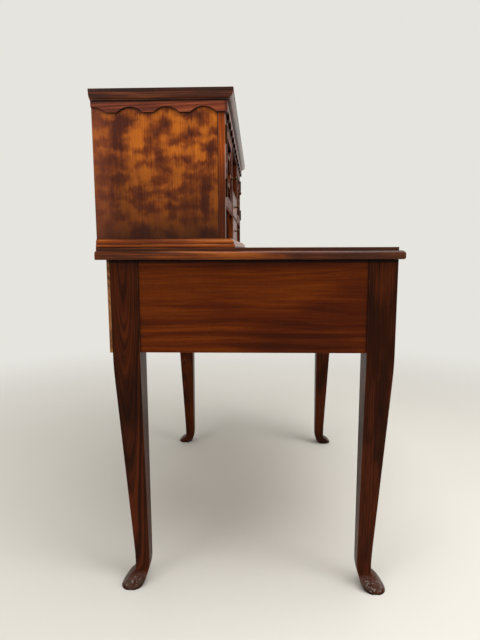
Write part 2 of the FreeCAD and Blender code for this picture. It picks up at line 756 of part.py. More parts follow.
def make_small_drawers():
    low_x = f"(0 - {CENTRE_X} + small_gap)"
    width = f"(2 * ({CENTRE_X} - small_gap))"
    height = "(lower_tier_height - small_gap - drawer_rest_gap)"
    for name, floor in (("small_drawer_lower", CASE_FLOOR), ("small_drawer_upper", SHELF_TOP)):
        low_z = f"({floor} + drawer_rest_gap)"
        make_drawer(name, low_x, width, CASE_FRONT_Y, low_z, height, "small")
        z = f"{low_z} + {height} / 2"
        knob = turned_knob(f"{name}_knob", "small_knob_radius", "small_knob_projection", "0", CASE_FRONT_Y, z)
        keep(knob, f"{name}_knob")


# ---------------------------------------------------------------- raised case


def make_case():
    inside = f"{CASE_CEILING} - {CASE_FLOOR}"
    stiles = []
    for side in ("left", "right"):
        x = sided(side, CASE_INNER_X, "case_side_thickness")
        depth = f"{BACK_EDGE} - {STILE_BACK_Y}"
        keep(board(x, STILE_BACK_Y, CASE_FLOOR, "case_side_thickness", depth, inside), f"case_side_{side}")
        x = sided(side, STILE_INNER_X, "case_stile_width")
        stiles.append(board(x, CASE_FRONT_Y, CASE_FLOOR, "case_stile_width", "case_stile_depth", inside))
    group("case_stiles", stiles)
    x = f"0 - {CASE_INNER_X}"
    width = f"2 * {CASE_INNER_X}"
    keep(board(x, CASE_BACK_Y, CASE_FLOOR, width, "case_back_thickness", inside), "case_back")
    x = f"0 - {STILE_INNER_X}"
    width = f"2 * {STILE_INNER_X}"
    rail = board(x, CASE_FRONT_Y, TOP_RAIL_BOTTOM, width, "case_stile_depth", "case_top_rail_height")
    keep(rail, "case_top_rail")


def make_case_inside():
    """Two partitions notched for the top rail, the shelves between and beside them, and a thin
    divider in each pigeonhole."""
    upright = [
        (CASE_FRONT_Y, CASE_FLOOR),
        (CASE_BACK_Y, CASE_FLOOR),
        (CASE_BACK_Y, CASE_CEILING),
        (STILE_BACK_Y, CASE_CEILING),
        (STILE_BACK_Y, TOP_RAIL_BOTTOM),
        (CASE_FRONT_Y, TOP_RAIL_BOTTOM),
    ]
    shelves = []
    dividers = []
    for side, sign in (("left", "0 -"), ("right", "0 +")):
        start = sided(side, CENTRE_X, "partition_thickness")
        name = f"partition_{side}"
        keep(prism(name, "YZ_Plane", start, "partition_thickness", upright), name)
        near, stile, far = (f"({sign} {x})" for x in (PARTITION_OUTER_X, STILE_INNER_X, CASE_INNER_X))
        corners = [
            (near, CASE_FRONT_Y),
            (stile, CASE_FRONT_Y),
            (stile, STILE_BACK_Y),
            (far, STILE_BACK_Y),
            (far, CASE_BACK_Y),
            (near, CASE_BACK_Y),
        ]
        name = f"pigeonhole_shelf_{side}"
        shelves.append(prism(name, "XY_Plane", SHELF_BOTTOM, "shelf_thickness", corners))
        middle = f"(({PARTITION_OUTER_X} + {STILE_INNER_X} - pigeonhole_divider_thickness) / 2)"
        thickness = "pigeonhole_divider_thickness"
        divider_y = f"({CASE_FRONT_Y} + pigeonhole_divider_setback)"
        x = sided(side, middle, thickness)
        run = f"{CASE_BACK_Y} - {divider_y}"
        dividers.append(board(x, divider_y, CASE_FLOOR, thickness, run, "lower_tier_height"))
    group("pigeonhole_shelves", shelves)
    group("pigeonhole_dividers", dividers)
    width = f"2 * {CENTRE_X}"
    depth = f"{CASE_BACK_Y} - {CASE_FRONT_Y}"
    for label, z in (("small_drawer_dustboard", SHELF_BOTTOM), ("centre_shelf", CENTRE_SHELF_BOTTOM)):
        keep(board(f"0 - {CENTRE_X}", CASE_FRONT_Y, z, width, depth, "shelf_thickness"), label)


# ---------------------------------------------------------------- scalloped frieze


SCALLOP_WIDTH = f"({SCALLOP_PITCH} - scallop_flat)"
SCALLOP_RADIUS = f"((({SCALLOP_WIDTH} / 2) ^ 2 + scallop_rise ^ 2) / (2 * scallop_rise))"
FRIEZE_BOTTOM = f"({CASE_CEILING} - frieze_drop)"


def scallops(first, count):
    """The steps along a scalloped edge: count arches of equal width, each after a flat drop."""
    steps = []
    for arch in range(count):
        flat_end = f"({first} + {arch} * {SCALLOP_PITCH} + scallop_flat)"
        steps.append((flat_end, FRIEZE_BOTTOM))
        steps.append((f"({first} + {arch + 1} * {SCALLOP_PITCH})", FRIEZE_BOTTOM, SCALLOP_RADIUS, "right"))
    return steps


def make_front_frieze():
    left = f"(0 - {FRIEZE_OUTER_X})"
    body = new_body("frieze_front")
    sketch = sketch_on(body, "XZ_Plane", f"0 - {CASE_FRONT_Y}")
    arches = scallops(left, int(number("scallops_along_front")))
    ends = ((FRIEZE_OUTER_X, FRIEZE_BOTTOM), (FRIEZE_OUTER_X, CASE_CEILING))
    outline(sketch, (left, CASE_CEILING), (left, FRIEZE_BOTTOM), *arches, *ends)
    pad(body, sketch, "frieze_front_thickness")
    keep(body, "frieze_front")


def make_end_friezes():
    """The same scallops carried round each end, where the last arch is cut off by the back edge."""
    length = number(f"{BACK_EDGE} - {FRIEZE_FRONT_Y}")
    count = int(length / number(SCALLOP_PITCH))
    arches = scallops(FRIEZE_FRONT_Y, count)
    last_start = f"({FRIEZE_FRONT_Y} + {count} * {SCALLOP_PITCH} + scallop_flat)"
    if number(last_start) < number(BACK_EDGE):
        beyond = f"({BACK_EDGE} - {last_start} - {SCALLOP_WIDTH} / 2)"
        sag = f"({SCALLOP_RADIUS} - sqrt({SCALLOP_RADIUS} ^ 2 - {beyond} ^ 2))"
        height = f"({FRIEZE_BOTTOM} + scallop_rise - {sag})"
        arches += [(last_start, FRIEZE_BOTTOM), (BACK_EDGE, height, SCALLOP_RADIUS, "right")]
    else:
        arches += [(BACK_EDGE, FRIEZE_BOTTOM)]
    strips = []
    for side in ("left", "right"):
        strip = new_body(f"frieze_end_{side}")
        start = sided(side, CASE_OUTER_X, "frieze_end_thickness")
        sketch = sketch_on(strip, "YZ_Plane", start)
        foot = (CASE_FRONT_Y, FRIEZE_BOTTOM)
        outline(sketch, (CASE_FRONT_Y, CASE_CEILING), foot, *arches, (BACK_EDGE, CASE_CEILING))
        pad(strip, sketch, "frieze_end_thickness")
        strips.append(strip)
    group("frieze_ends", strips)


# ---------------------------------------------------------------- glazed doors


def glazing_bar(start_x, start_z, end_x, end_z):
    """A bar between two points of the door's face, the first one further left."""
    angle = f"atan(({end_z} - {start_z}) / ({end_x} - {start_x}))"
    length = f"sqrt(({end_x} - {start_x}) ^ 2 + ({end_z} - {start_z}) ^ 2)"
    bar = doc.addObject("Part::Box", "bar")
    bind(bar, Length=length, Width="glazing_bar_depth", Height="glazing_bar_width")
    bar.Placement = FreeCAD.Placement(FreeCAD.Vector(), FreeCAD.Rotation(FreeCAD.Vector(0, -1, 0), 1))
    x = f"{start_x} + glazing_bar_width / 2 * sin({angle})"
    z = f"{start_z} - glazing_bar_width / 2 * cos({angle})"
    put(bar, x, f"{GLASS_FRONT_Y} - glazing_bar_depth", z)
    bind(bar, Placement__Rotation__Angle=angle)
    return bar


def make_glazing_bars(name, middle_x, half_x, half_z):
    """A long hexagon in the middle of the glass, its tips and corners tied to the door's frame."""
    z = DOOR_MIDDLE_Z
    tips = [f"({middle_x} {sign} hexagon_half_length)" for sign in "-+"]
    flats = [f"({middle_x} {sign} hexagon_half_flat)" for sign in "-+"]
    edges = [f"({middle_x} {sign} {half_x})" for sign in "-+"]
    bars = [glazing_bar(edges[0], z, tips[0], z), glazing_bar(tips[1], z, edges[1], z)]
    for sign in "-+":
        level = f"({z} {sign} hexagon_half_height)"
        corner = f"({z} {sign} {half_z})"
        bars.append(glazing_bar(edges[0], corner, flats[0], level))
        bars.append(glazing_bar(tips[0], z, flats[0], level))
        bars.append(glazing_bar(flats[0], level, flats[1], level))
        bars.append(glazing_bar(flats[1], level, tips[1], z))
        bars.append(glazing_bar(flats[1], level, edges[1], corner))
    lattice = doc.addObject("Part::MultiFuse", name + "_lattice")
    lattice.Shapes = bars
    trimmed = doc.addObject("Part::Common", name)
    trimmed.Base = lattice
    width, height = f"2 * {half_x}", f"2 * {half_z}"
    low = (edges[0], f"{GLASS_FRONT_Y} - glazing_bar_depth", f"{z} - {half_z}")
    trimmed.Tool = board(*low, width, "glazing_bar_depth", height, name + "_opening")
    keep(trimmed, name)


def make_door(side):
    """A glazed door: two stiles and two rails rebated for the glass, the bars in front of it, and a
    turned knob on the stile that meets the partition."""
    name = f"door_{side}"
    sign, towards_free = ("", "-") if side == "right" else ("0 - ", "+")
    hinge_x, free_x = f"({sign}{DOOR_HINGE_X})", f"({sign}{DOOR_FREE_X})"
    towards_hinge = "+" if towards_free == "-" else "-"
    members = []
    for end, outer_x, inward in (("hinge", hinge_x, towards_free), ("free", free_x, towards_hinge)):
        inner = f"({outer_x} {inward} door_frame_width)"
        rebate = f"({outer_x} {inward} (door_frame_width - glass_lap))"
        corners = [
            (outer_x, CASE_FRONT_Y),
            (inner, CASE_FRONT_Y),
            (inner, GLASS_FRONT_Y),
            (rebate, GLASS_FRONT_Y),
            (rebate, DOOR_BACK_Y),
            (outer_x, DOOR_BACK_Y),
        ]
        height = f"{DOOR_TOP} - {DOOR_BOTTOM}"
        members.append(prism(f"{name}_{end}_stile", "XY_Plane", DOOR_BOTTOM, height, corners))
    half_x = f"(({DOOR_HINGE_X} - {DOOR_FREE_X}) / 2 - door_frame_width)"
    half_z = f"(({DOOR_TOP} - {DOOR_BOTTOM}) / 2 - door_frame_width)"
    middle_x = f"({sign}{DOOR_MIDDLE_X})"
    for outer_z, inward in ((DOOR_BOTTOM, "+"), (DOOR_TOP, "-")):
        inner = f"({outer_z} {inward} door_frame_width)"
        rebate = f"({outer_z} {inward} (door_frame_width - glass_lap))"
        corners = [
            (CASE_FRONT_Y, outer_z),
            (CASE_FRONT_Y, inner),
            (GLASS_FRONT_Y, inner),
            (GLASS_FRONT_Y, rebate),
            (DOOR_BACK_Y, rebate),
            (DOOR_BACK_Y, outer_z),
        ]
        members.append(prism(f"{name}_rail", "YZ_Plane", f"{middle_x} - {half_x}", f"2 * {half_x}", corners))
    group(f"{name}_frame", members)
    glass_x, glass_z = f"({half_x} + glass_lap)", f"({half_z} + glass_lap)"
    low = (f"{middle_x} - {glass_x}", GLASS_FRONT_Y, f"{DOOR_MIDDLE_Z} - {glass_z}")
    keep(board(*low, f"2 * {glass_x}", "glass_thickness", f"2 * {glass_z}"), f"{name}_glass")
    make_glazing_bars(f"{name}_bars", middle_x, half_x, half_z)
    knob_x = f"{free_x} {towards_hinge} door_frame_width / 2"
    knob_sizes = ("small_knob_radius", "small_knob_projection")
    keep(turned_knob(f"{name}_knob", *knob_sizes, knob_x, CASE_FRONT_Y, DOOR_MIDDLE_Z), f"{name}_knob")


# ---------------------------------------------------------------- butt hinges


def round_bar(x, z, radius, length):
    """A round bar on a hinge's axis."""
    bar = doc.addObject("Part::Cylinder", "round_bar")
    bind(bar, Radius=radius, Height=length)
    put(bar, x, HINGE_AXIS_Y, z)
    return bar


def fuse(name, shapes):
    joined = doc.addObject("Part::MultiFuse", name)
    joined.Shapes = shapes
    return joined


def hinge_leaf(name, axis_x, plate_x, low_z, knuckles):
    """One leaf: a flat plate against the wood, bent out to its knuckles on the hinge's axis."""
    thickness = "hinge_leaf_thickness"
    shapes = [board(plate_x, HINGE_PLATE_Y, low_z, thickness, "hinge_leaf_width", "hinge_length")]
    for place in knuckles:
        z = f"{low_z} + {place} * ({KNUCKLE_LENGTH} + hinge_knuckle_gap)"
        reach = f"{HINGE_PLATE_Y} - {HINGE_AXIS_Y}"
        shapes.append(board(plate_x, HINGE_AXIS_Y, z, thickness, reach, KNUCKLE_LENGTH))
        shapes.append(round_bar(axis_x, z, "hinge_barrel_radius", KNUCKLE_LENGTH))
    return fuse(name, shapes)


def make_hinges():
    """Two butt hinges to a door. The case's leaf has the end knuckles and the pin, and the door's
    leaf has the middle knuckle, bored to turn on the pin."""
    case_leaves = []
    for side in ("left", "right"):
        sign = "" if side == "right" else "0 - "
        axis_x = f"({sign}{HINGE_AXIS_X})"
        on_case = sided(side, f"({STILE_INNER_X} - hinge_leaf_thickness)", "hinge_leaf_thickness")
        on_door = sided(side, DOOR_HINGE_X, "hinge_leaf_thickness")
        door_leaves = []
        for level in (f"({DOOR_BOTTOM} + hinge_inset)", f"({DOOR_TOP} - hinge_inset - hinge_length)"):
            fixed = hinge_leaf("fixed_leaf", axis_x, on_case, level, (0, 2))
            pin = round_bar(axis_x, level, "hinge_pin_radius", "hinge_length")
            case_leaves.append(fuse("case_leaf", [fixed, pin]))
            moving = hinge_leaf("moving_leaf", axis_x, on_door, level, (1,))
            bored = doc.addObject("Part::Cut", "door_leaf")
            bored.Base = moving
            bored.Tool = round_bar(axis_x, level, "hinge_pin_radius + hinge_pin_clearance", "hinge_length")
            door_leaves.append(bored)
        group(f"door_{side}_hinges", door_leaves)
    group("case_hinges", case_leaves)


# ---------------------------------------------------------------- build and write


def build():
    fill_sheet()
    make_desktop()
    make_legs()
    make_frame()
    make_drawer_ways()
    make_frieze_drawers()
    make_case_base()
    make_case()
    make_case_inside()
    make_cornice()
    make_front_frieze()
    make_end_friezes()
    make_small_drawers()
    make_door("left")
    make_door("right")
    make_hinges()
    doc.recompute()


def check():
    """Stops the build if any object failed or any sub-part has no sound shape."""
    for item in doc.Objects:
        if "Invalid" in item.State or "Error" in item.State:
            raise RuntimeError(f"{item.Name} failed: {item.State}")
    for piece in pieces:
        if piece.Shape.isNull() or not piece.Shape.isValid() or not piece.Shape.Solids:
            raise RuntimeError(f"{piece.Label} has no sound shape")


def write():
    os.makedirs("parts", exist_ok=True)
    for piece in pieces:
        piece.Shape.exportStep(f"parts/{piece.Label}.step")


build()
check()
write()
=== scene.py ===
from math import pi, radians

import bmesh
import bpy
from mathutils import Matrix, Vector


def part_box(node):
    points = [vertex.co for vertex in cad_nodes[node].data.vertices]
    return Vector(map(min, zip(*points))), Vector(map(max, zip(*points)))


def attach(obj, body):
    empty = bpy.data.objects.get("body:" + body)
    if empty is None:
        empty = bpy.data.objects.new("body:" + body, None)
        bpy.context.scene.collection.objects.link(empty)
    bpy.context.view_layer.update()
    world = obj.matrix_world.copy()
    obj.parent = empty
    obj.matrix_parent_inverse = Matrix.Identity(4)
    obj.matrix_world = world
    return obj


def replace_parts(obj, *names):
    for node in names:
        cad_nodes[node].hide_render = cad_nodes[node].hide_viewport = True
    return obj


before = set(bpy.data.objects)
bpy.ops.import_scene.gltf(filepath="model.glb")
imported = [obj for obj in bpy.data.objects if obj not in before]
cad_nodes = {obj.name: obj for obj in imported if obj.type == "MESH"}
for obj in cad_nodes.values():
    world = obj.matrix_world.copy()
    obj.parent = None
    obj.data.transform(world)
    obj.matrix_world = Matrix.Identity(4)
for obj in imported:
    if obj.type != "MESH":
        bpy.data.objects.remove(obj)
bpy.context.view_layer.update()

# ---------------------------------------------------------------------------------------------
# Camera
# It stands off the desk's left end, level with the writing surface, and looks along the desk with
# a slight tilt down.
eye = Vector((-1.441, -0.016, 0.749))
turn_to_the_back = 0.0340
tilt_down = 0.1425
roll = -0.0032
lens_length = 27.84
nearest_seen = 0.05

camera = bpy.data.objects.new("camera", bpy.data.cameras.new("camera"))
camera.data.lens = lens_length
camera.data.clip_start = nearest_seen
camera.matrix_world = (
    Matrix.Translation(eye)
    @ Matrix.Rotation(turn_to_the_back - pi / 2, 4, "Z")
    @ Matrix.Rotation(pi / 2 - tilt_down, 4, "X")
    @ Matrix.Rotation(roll, 4, "Z")
)
bpy.context.scene.collection.objects.link(camera)
bpy.context.scene.camera = camera
bpy.context.scene.view_settings.view_transform = "Standard"


# ---------------------------------------------------------------------------------------------
# Floor and light
# A round, matt, pale floor that fades into a pale sky away from the desk, one wide lamp overhead
# and one off each near corner.
def rgb(red, green, blue):
    """A colour as it shows on a screen, from 0 to 255, in the linear light that shaders read."""
    return (*(((c / 255 + 0.055) / 1.055) ** 2.4 for c in (red, green, blue)), 1.0)


def feed(node, inputs):
    """Sets a node's inputs to plain values, or links them to other nodes' outputs."""
    for name, value in inputs.items():
        if isinstance(value, bpy.types.NodeSocket):
            node.id_data.links.new(value, node.inputs[name])
        else:
            node.inputs[name].default_value = value


def add_node(tree, kind, inputs=None, **settings):
    """A new shader node, with its inputs and its settings."""
    made = tree.nodes.new("ShaderNode" + kind)
    for name, value in settings.items():
        setattr(made, name, value)
    feed(made, inputs or {})
    return made


def calculate(tree, operation, *values, kind="Math"):
    """The result of a sum on numbers or on other nodes' outputs, or on vectors as kind VectorMath."""
    made = add_node(tree, kind, operation=operation)
    for slot, value in zip(made.inputs, values):
        if isinstance(value, bpy.types.NodeSocket):
            tree.links.new(value, slot)
        else:
            slot.default_value = value
    is_number = kind == "Math" or operation in ("LENGTH", "DOT_PRODUCT")
    return made.outputs["Value" if is_number else "Vector"]


def noise(tree, place, scale, detail=2.0):
    """Cloudy noise, with as many lumps to the metre as its scale."""
    return add_node(tree, "TexNoise", {"Vector": place, "Scale": scale, "Detail": detail}).outputs["Fac"]


def mix(tree, under, over, amount, blend="MIX"):
    """One colour over another, by an amount from 0 to 1."""
    inputs = {"Color1": under, "Color2": over, "Fac": amount}
    return add_node(tree, "MixRGB", inputs, blend_type=blend).outputs["Color"]


def spread(tree, value, low, high, top=1.0, slope="LINEAR"):
    """Zero up to low, top from high, and a slope between."""
    inputs = {"Value": value, "From Min": low, "From Max": high, "To Max": top}
    return add_node(tree, "MapRange", inputs, interpolation_type=slope).outputs["Result"]


def between(tree, value, low, high):
    """From low to high, as a value goes from 0 to 1."""
    return add_node(tree, "MapRange", {"Value": value, "To Min": low, "To Max": high}).outputs["Result"]


def object_place(tree):
    """The place on an object, which is the same in every piece, as none is moved or turned."""
    return add_node(tree, "TexCoord").outputs["Object"]


def background_ray(tree):
    """One where a ray comes from the camera, a mirror or glass, which show the bare background."""
    rays = add_node(tree, "LightPath").outputs
    seen = calculate(tree, "MAXIMUM", rays["Is Camera Ray"], rays["Is Transmission Ray"])
    return calculate(tree, "MAXIMUM", seen, rays["Is Glossy Ray"])


def new_material(name):
    """A material with its node tree and its plain shader."""
    material = bpy.data.materials.new(name)
    material.use_nodes = True
    return material, material.node_tree, material.node_tree.nodes["Principled BSDF"]


def mesh_data(name, mesh):
    """A finished bmesh as mesh data."""
    data = bpy.data.meshes.new(name)
    mesh.to_mesh(data)
    mesh.free()
    return data


floor_radius = 9.0
fade_start = 0.9
fade_end = 2.6
floor_tone = rgb(222, 219, 212)
floor_mottle = rgb(214, 211, 204)
mottles_to_the_metre = 1.3
sky_tone = rgb(230, 228, 222)
sky_strength = 0.62
lamps = {  # where each stands, where it points, its width and its power
    "lamp_overhead": ((-0.7, -0.5, 2.7), (-0.1, 0.0, 0.4), 2.4, 62.0),
    "lamp_front": ((-2.3, -3.6, 2.2), (0.0, 0.0, 0.6), 2.4, 48.0),
    "lamp_back": ((-3.1, 2.5, 2.3), (0.0, 0.0, 0.6), 2.2, 32.0),
}

floor_mesh = bmesh.new()
bmesh.ops.create_circle(floor_mesh, cap_ends=True, segments=96, radius=floor_radius)
floor = bpy.data.objects.new("floor", mesh_data("floor", floor_mesh))
bpy.context.scene.collection.objects.link(floor)
floor_paint, tree, shader = new_material("floor_paint")
place = object_place(tree)
feed(shader, {
    "Base Color": mix(tree, floor_tone, floor_mottle, noise(tree, place, mottles_to_the_metre)),
    "Roughness": 0.8,
    "Specular IOR Level": 0.2,
})
away = calculate(tree, "LENGTH", place, kind="VectorMath")
fade = spread(tree, away, fade_start, fade_end, slope="SMOOTHSTEP")
haze = add_node(tree, "Emission", {"Color": sky_tone})
blend = add_node(tree, "MixShader", {"Fac": calculate(tree, "MULTIPLY", fade, background_ray(tree))})
tree.links.new(shader.outputs["BSDF"], blend.inputs[1])
tree.links.new(haze.outputs["Emission"], blend.inputs[2])
feed(tree.nodes["Material Output"], {"Surface": blend.outputs["Shader"]})
floor.data.materials.append(floor_paint)

world = bpy.data.worlds.new("sky")
bpy.context.scene.world = world
world.use_nodes = True
tree = world.node_tree
feed(tree.nodes["Background"], {
    "Color": sky_tone,
    "Strength": between(tree, background_ray(tree), sky_strength, 1.0),
})

for name, (stand, target, width, power) in lamps.items():
    lamp = bpy.data.objects.new(name, bpy.data.lights.new(name, "AREA"))
    lamp.data.shape = "DISK"
    lamp.data.size = width
    lamp.data.energy = power
    aim = (Vector(target) - Vector(stand)).to_track_quat("-Z", "Y")
    lamp.matrix_world = Matrix.Translation(stand) @ aim.to_matrix().to_4x4()
    bpy.context.scene.collection.objects.link(lamp)


# ---------------------------------------------------------------------------------------------
# Legs
# Four mahogany legs sawn from the square, each face bowed and tapered, with a slipper foot.
# Their sharp arrises are eased by hand, and the polish is darkest here.
def split(tree, vector):
    """The X, Y and Z of a vector."""
    return add_node(tree, "SeparateXYZ", {"Vector": vector}).outputs


def surface_facing(tree):
    """The X, Y and Z of the way that the surface looks."""
    return split(tree, add_node(tree, "NewGeometry").outputs["Normal"])


def shade_ramp(tree, value, stops):
    """The colour at a value, along stops of a position and a colour each."""
    ramp = add_node(tree, "ValToRGB", {"Fac": value})
    elements = ramp.color_ramp.elements
    elements[0].position, elements[0].color = stops[0]
    elements[1].position, elements[1].color = stops[-1]
    for position, colour in stops[1:-1]:
        elements.new(position).color = colour
    return ramp.outputs["Color"]


def emboss(tree, shader, height, strength, depth):
    """Fine relief in a surface, of the given depth."""
    bump = add_node(tree, "Bump", {"Height": height, "Strength": strength, "Distance": depth})
    feed(shader, {"Normal": bump.outputs["Normal"]})


def turn_at_mitres(tree, place, low, high, width, axes):
    """The place on a mitred frame, with its two axes exchanged on the members across its ends."""
    run, side = axes
    parts = split(tree, place)
    rooms = []
    for axis in axes:
        number = "XYZ".index(axis)
        past_low = calculate(tree, "SUBTRACT", parts[axis], low[number])
        short_of_high = calculate(tree, "SUBTRACT", high[number], parts[axis])
        rooms.append(calculate(tree, "MINIMUM", past_low, short_of_high))
    exchanged = {run: side, side: run}
    turned = add_node(tree, "CombineXYZ", {axis: parts[exchanged.get(axis, axis)] for axis in "XYZ"})
    at_end = calculate(tree, "LESS_THAN", rooms[0], calculate(tree, "MINIMUM", rooms[1], width))
    return mix(tree, place, turned.outputs["Vector"], at_end)


def growth_rings(tree, place, grain, pith, lean, ring, ripple):
    """The tone of the growth rings about a pith that leans from the grain. The ripple bends them."""
    across = [axis for axis in "XYZ" if axis != grain]
    turns = dict(zip(across, lean))
    shift = dict(zip(across, pith))
    from_pith = add_node(tree, "Mapping", {
        "Vector": place,
        "Location": [-shift.get(axis, 0.0) for axis in "XYZ"],
        "Rotation": [radians(turns.get(axis, 0.0)) for axis in "XYZ"],
    }).outputs["Vector"]
    crosswise = [float(axis != grain) for axis in "XYZ"]
    flat = calculate(tree, "MULTIPLY", from_pith, crosswise, kind="VectorMath")
    radius = calculate(tree, "LENGTH", flat, kind="VectorMath")
    inputs = {"W": calculate(tree, "ADD", ripple, radius), "Scale": 1.0 / ring, "Detail": 2.5}
    years = add_node(tree, "TexNoise", inputs, noise_dimensions="1D").outputs["Fac"]
    return spread(tree, years, low=0.3, high=0.7)


def polished_wood(name, grain, dark, middle, light, pith=(0.0, 0.3), ring=0.004, lean=(1.2, -1.2),
                  wander=0.012, weights=(0.45, 0.30, 0.25), cloud_size=0.05, bars=0.0, mitre=None,
                  rough=0.3, gloss=0.10, corner_shade=rgb(14, 6, 3), crevice=0.007):
    """Wood with growth rings about a pith, fibres and pores along its grain, and cloudy figure.

    grain is the axis that the fibres follow, and pith is where the rings are centred on the other
    two. ring is the width of a year's growth, wander is how far the rings wave, and lean is how far
    the pith leans from the grain, in degrees about the other two axes. weights are the shares of
    rings, fibres and clouds in the colour, and bars is the share of the clouds that lie in short
    bars across the grain, with edges brushed out along it. mitre is for a frame with mitred corners:
    its box, the width of its members, and the axes that its rails and its ends follow. corner_shade
    is the colour of painted shade in the corners, within crevice of a neighbour. The arrises are
    rubbed pale in patches, which also paints a highlight along them.
    """
    layers = {  # size across the grain, share of its scale that is kept along the grain, detail
        "ripple": (0.05, 0.12, 2.0),
        "fibre": (0.0022, 0.022, 4.0),
        "cloud": (cloud_size, 0.3, 2.5),
        "brush": (0.0045, 0.05, 4.0),
        "pore": (0.0006, 0.045, 1.0),
        "wear": (0.016, 0.4, 4.0),
        "sheen": (0.03, 0.6, 4.0),
    }
    brush_length = 0.018
    bar_size = 1.2 * cloud_size
    bar_squeeze = 1.7
    pore_tone = (0.42, 0.34, 0.32, 1.0)
    pore_fill = 0.55
    pore_depth = -0.7
    fibre_height = 0.5
    arris_radius = 0.0016
    rubbed_highlight_amount = 0.35
    rubbed_highlight_tone = rgb(158, 104, 72)
    material, tree, shader = new_material(name)
    place = object_place(tree)
    if mitre:
        place = turn_at_mitres(tree, place, *mitre)

    def along_grain(amount, others):
        """A vector with one amount along the grain, and another across it."""
        return [amount if axis == grain else others for axis in "XYZ"]

    def drawn_out(layer):
        """The noise of a layer, drawn out along the grain."""
        size, share, detail = layers[layer]
        short = calculate(tree, "MULTIPLY", place, along_grain(share, 1.0), kind="VectorMath")
        return noise(tree, short, 1.0 / size, detail)

    ripple = calculate(tree, "MULTIPLY", drawn_out("ripple"), wander)
    rings = growth_rings(tree, place, grain, pith, lean, ring, ripple)
    fibre = drawn_out("fibre")
    cloud = drawn_out("cloud")
    if bars:
        brush = calculate(tree, "SUBTRACT", drawn_out("brush"), 0.5)
        ragged = calculate(tree, "MULTIPLY_ADD", brush, along_grain(brush_length, 0.0), place,
                           kind="VectorMath")
        short = calculate(tree, "MULTIPLY", ragged, along_grain(bar_squeeze, 1.0), kind="VectorMath")
        barred = noise(tree, short, 1.0 / bar_size)
        plain = calculate(tree, "MULTIPLY", cloud, 1.0 - bars)
        cloud = calculate(tree, "MULTIPLY_ADD", barred, bars, plain)
    fibres = spread(tree, fibre, low=0.28, high=0.72)
    clouds = spread(tree, cloud, low=0.36, high=0.62, slope="SMOOTHSTEP")
    tone = calculate(tree, "MULTIPLY", rings, weights[0])
    tone = calculate(tree, "MULTIPLY_ADD", fibres, weights[1], tone)
    tone = calculate(tree, "MULTIPLY_ADD", clouds, weights[2], tone)
    colour = shade_ramp(tree, tone, [(0.18, dark), (0.5, middle), (0.85, light)])

    pores = spread(tree, drawn_out("pore"), low=0.60, high=0.68)
    colour = mix(tree, colour, pore_tone, calculate(tree, "MULTIPLY", pores, pore_fill), "MULTIPLY")
    # Rubbed wear and a painted highlight: the arrises are lightened in patches.
    eased = add_node(tree, "Bevel", {"Radius": arris_radius}, samples=4).outputs["Normal"]
    face = add_node(tree, "NewGeometry").outputs["Normal"]
    flatness = calculate(tree, "DOT_PRODUCT", eased, face, kind="VectorMath")
    arris = calculate(tree, "SUBTRACT", 1.0, spread(tree, flatness, low=0.86, high=0.985))
    patches = spread(tree, drawn_out("wear"), low=0.35, high=0.6)
    rubbed_highlight = calculate(tree, "MULTIPLY", calculate(tree, "MULTIPLY", arris, patches), rubbed_highlight_amount)
    colour = mix(tree, colour, rubbed_highlight_tone, rubbed_highlight)
    # Painted shade: the colour darkens towards the shade colour in corners, within crevice of a neighbour.
    openness = add_node(tree, "AmbientOcclusion", {"Distance": crevice}, samples=6).outputs["AO"]
    feed(shader, {
        "Base Color": mix(tree, corner_shade, colour, spread(tree, openness, low=0.5, high=0.95)),
        "Roughness": between(tree, drawn_out("sheen"), low=rough * 0.8, high=rough * 1.35),
        "Specular IOR Level": gloss,
    })
    raised = calculate(tree, "MULTIPLY", fibre, fibre_height)
    relief = calculate(tree, "MULTIPLY_ADD", pores, pore_depth, raised)
    emboss(tree, shader, relief, strength=0.4, depth=0.0002)
    return material


def lay_over(material, tone, amount):
    """Lays a tone over a material's colour, by an amount from 0 to 1."""
    tree = material.node_tree
    shader = tree.nodes["Principled BSDF"]
    under = shader.inputs["Base Color"].links[0].from_socket
    feed(shader, {"Base Color": mix(tree, under, tone, amount)})


def tone_towards(material, axis, start, end, tone, amount):
    """A tone laid over a finish: none at start, growing along one axis to amount at end."""
    tree = material.node_tree
    place = object_place(tree)
    reach = abs(end - start)
    uneven = noise(tree, place, scale=14.0, detail=4.0)
    ragged = calculate(tree, "MULTIPLY_ADD", uneven, reach, split(tree, place)[axis])
    lay_over(material, tone,
             spread(tree, ragged, start + reach / 2, end + reach / 2, amount, "SMOOTHSTEP"))


def shadow_under_top(material, name):
    """A painted shadow, with dirt, close under the overhang of the top, on the node that meets it."""
    shadow_edge = 0.009
    shadow_full = 0.003
    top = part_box(name)[1].z
    tone_towards(material, "Z", top - shadow_edge, top - shadow_full, tone=rgb(12, 5, 3), amount=0.9)


# Painted sheen and highlights on the tops of the feet, with some scuffs: a broad grey sheen and small pale
# patches.
foot_sheen_top = 0.030
foot_sheen_and_scuffs = [  # the size of the patches, where the noise starts and is full, the most of it, the tone
    (0.020, 0.25, 0.60, 0.60, rgb(92, 82, 76)),
    (0.0055, 0.55, 0.70, 0.65, rgb(168, 162, 158)),
]


def sheen_and_scuff_foot(material):
    """Paints a grey sheen on the upward faces of a foot in broad patches, and pale highlights with scuffs
    in small ones.
    """
    tree = material.node_tree
    place = object_place(tree)
    low_down = spread(tree, split(tree, place)["Z"], foot_sheen_top, foot_sheen_top / 3,
                      slope="SMOOTHSTEP")
    upward = spread(tree, surface_facing(tree)["Z"], low=0.25, high=0.85, slope="SMOOTHSTEP")
    on_top = calculate(tree, "MULTIPLY", low_down, upward)
    for size, low, high, most, tone in foot_sheen_and_scuffs:
        sheen_and_scuff = spread(tree, noise(tree, place, 1.0 / size, detail=4.0), low, high, most, "SMOOTHSTEP")
        lay_over(material, tone, calculate(tree, "MULTIPLY", sheen_and_scuff, on_top))


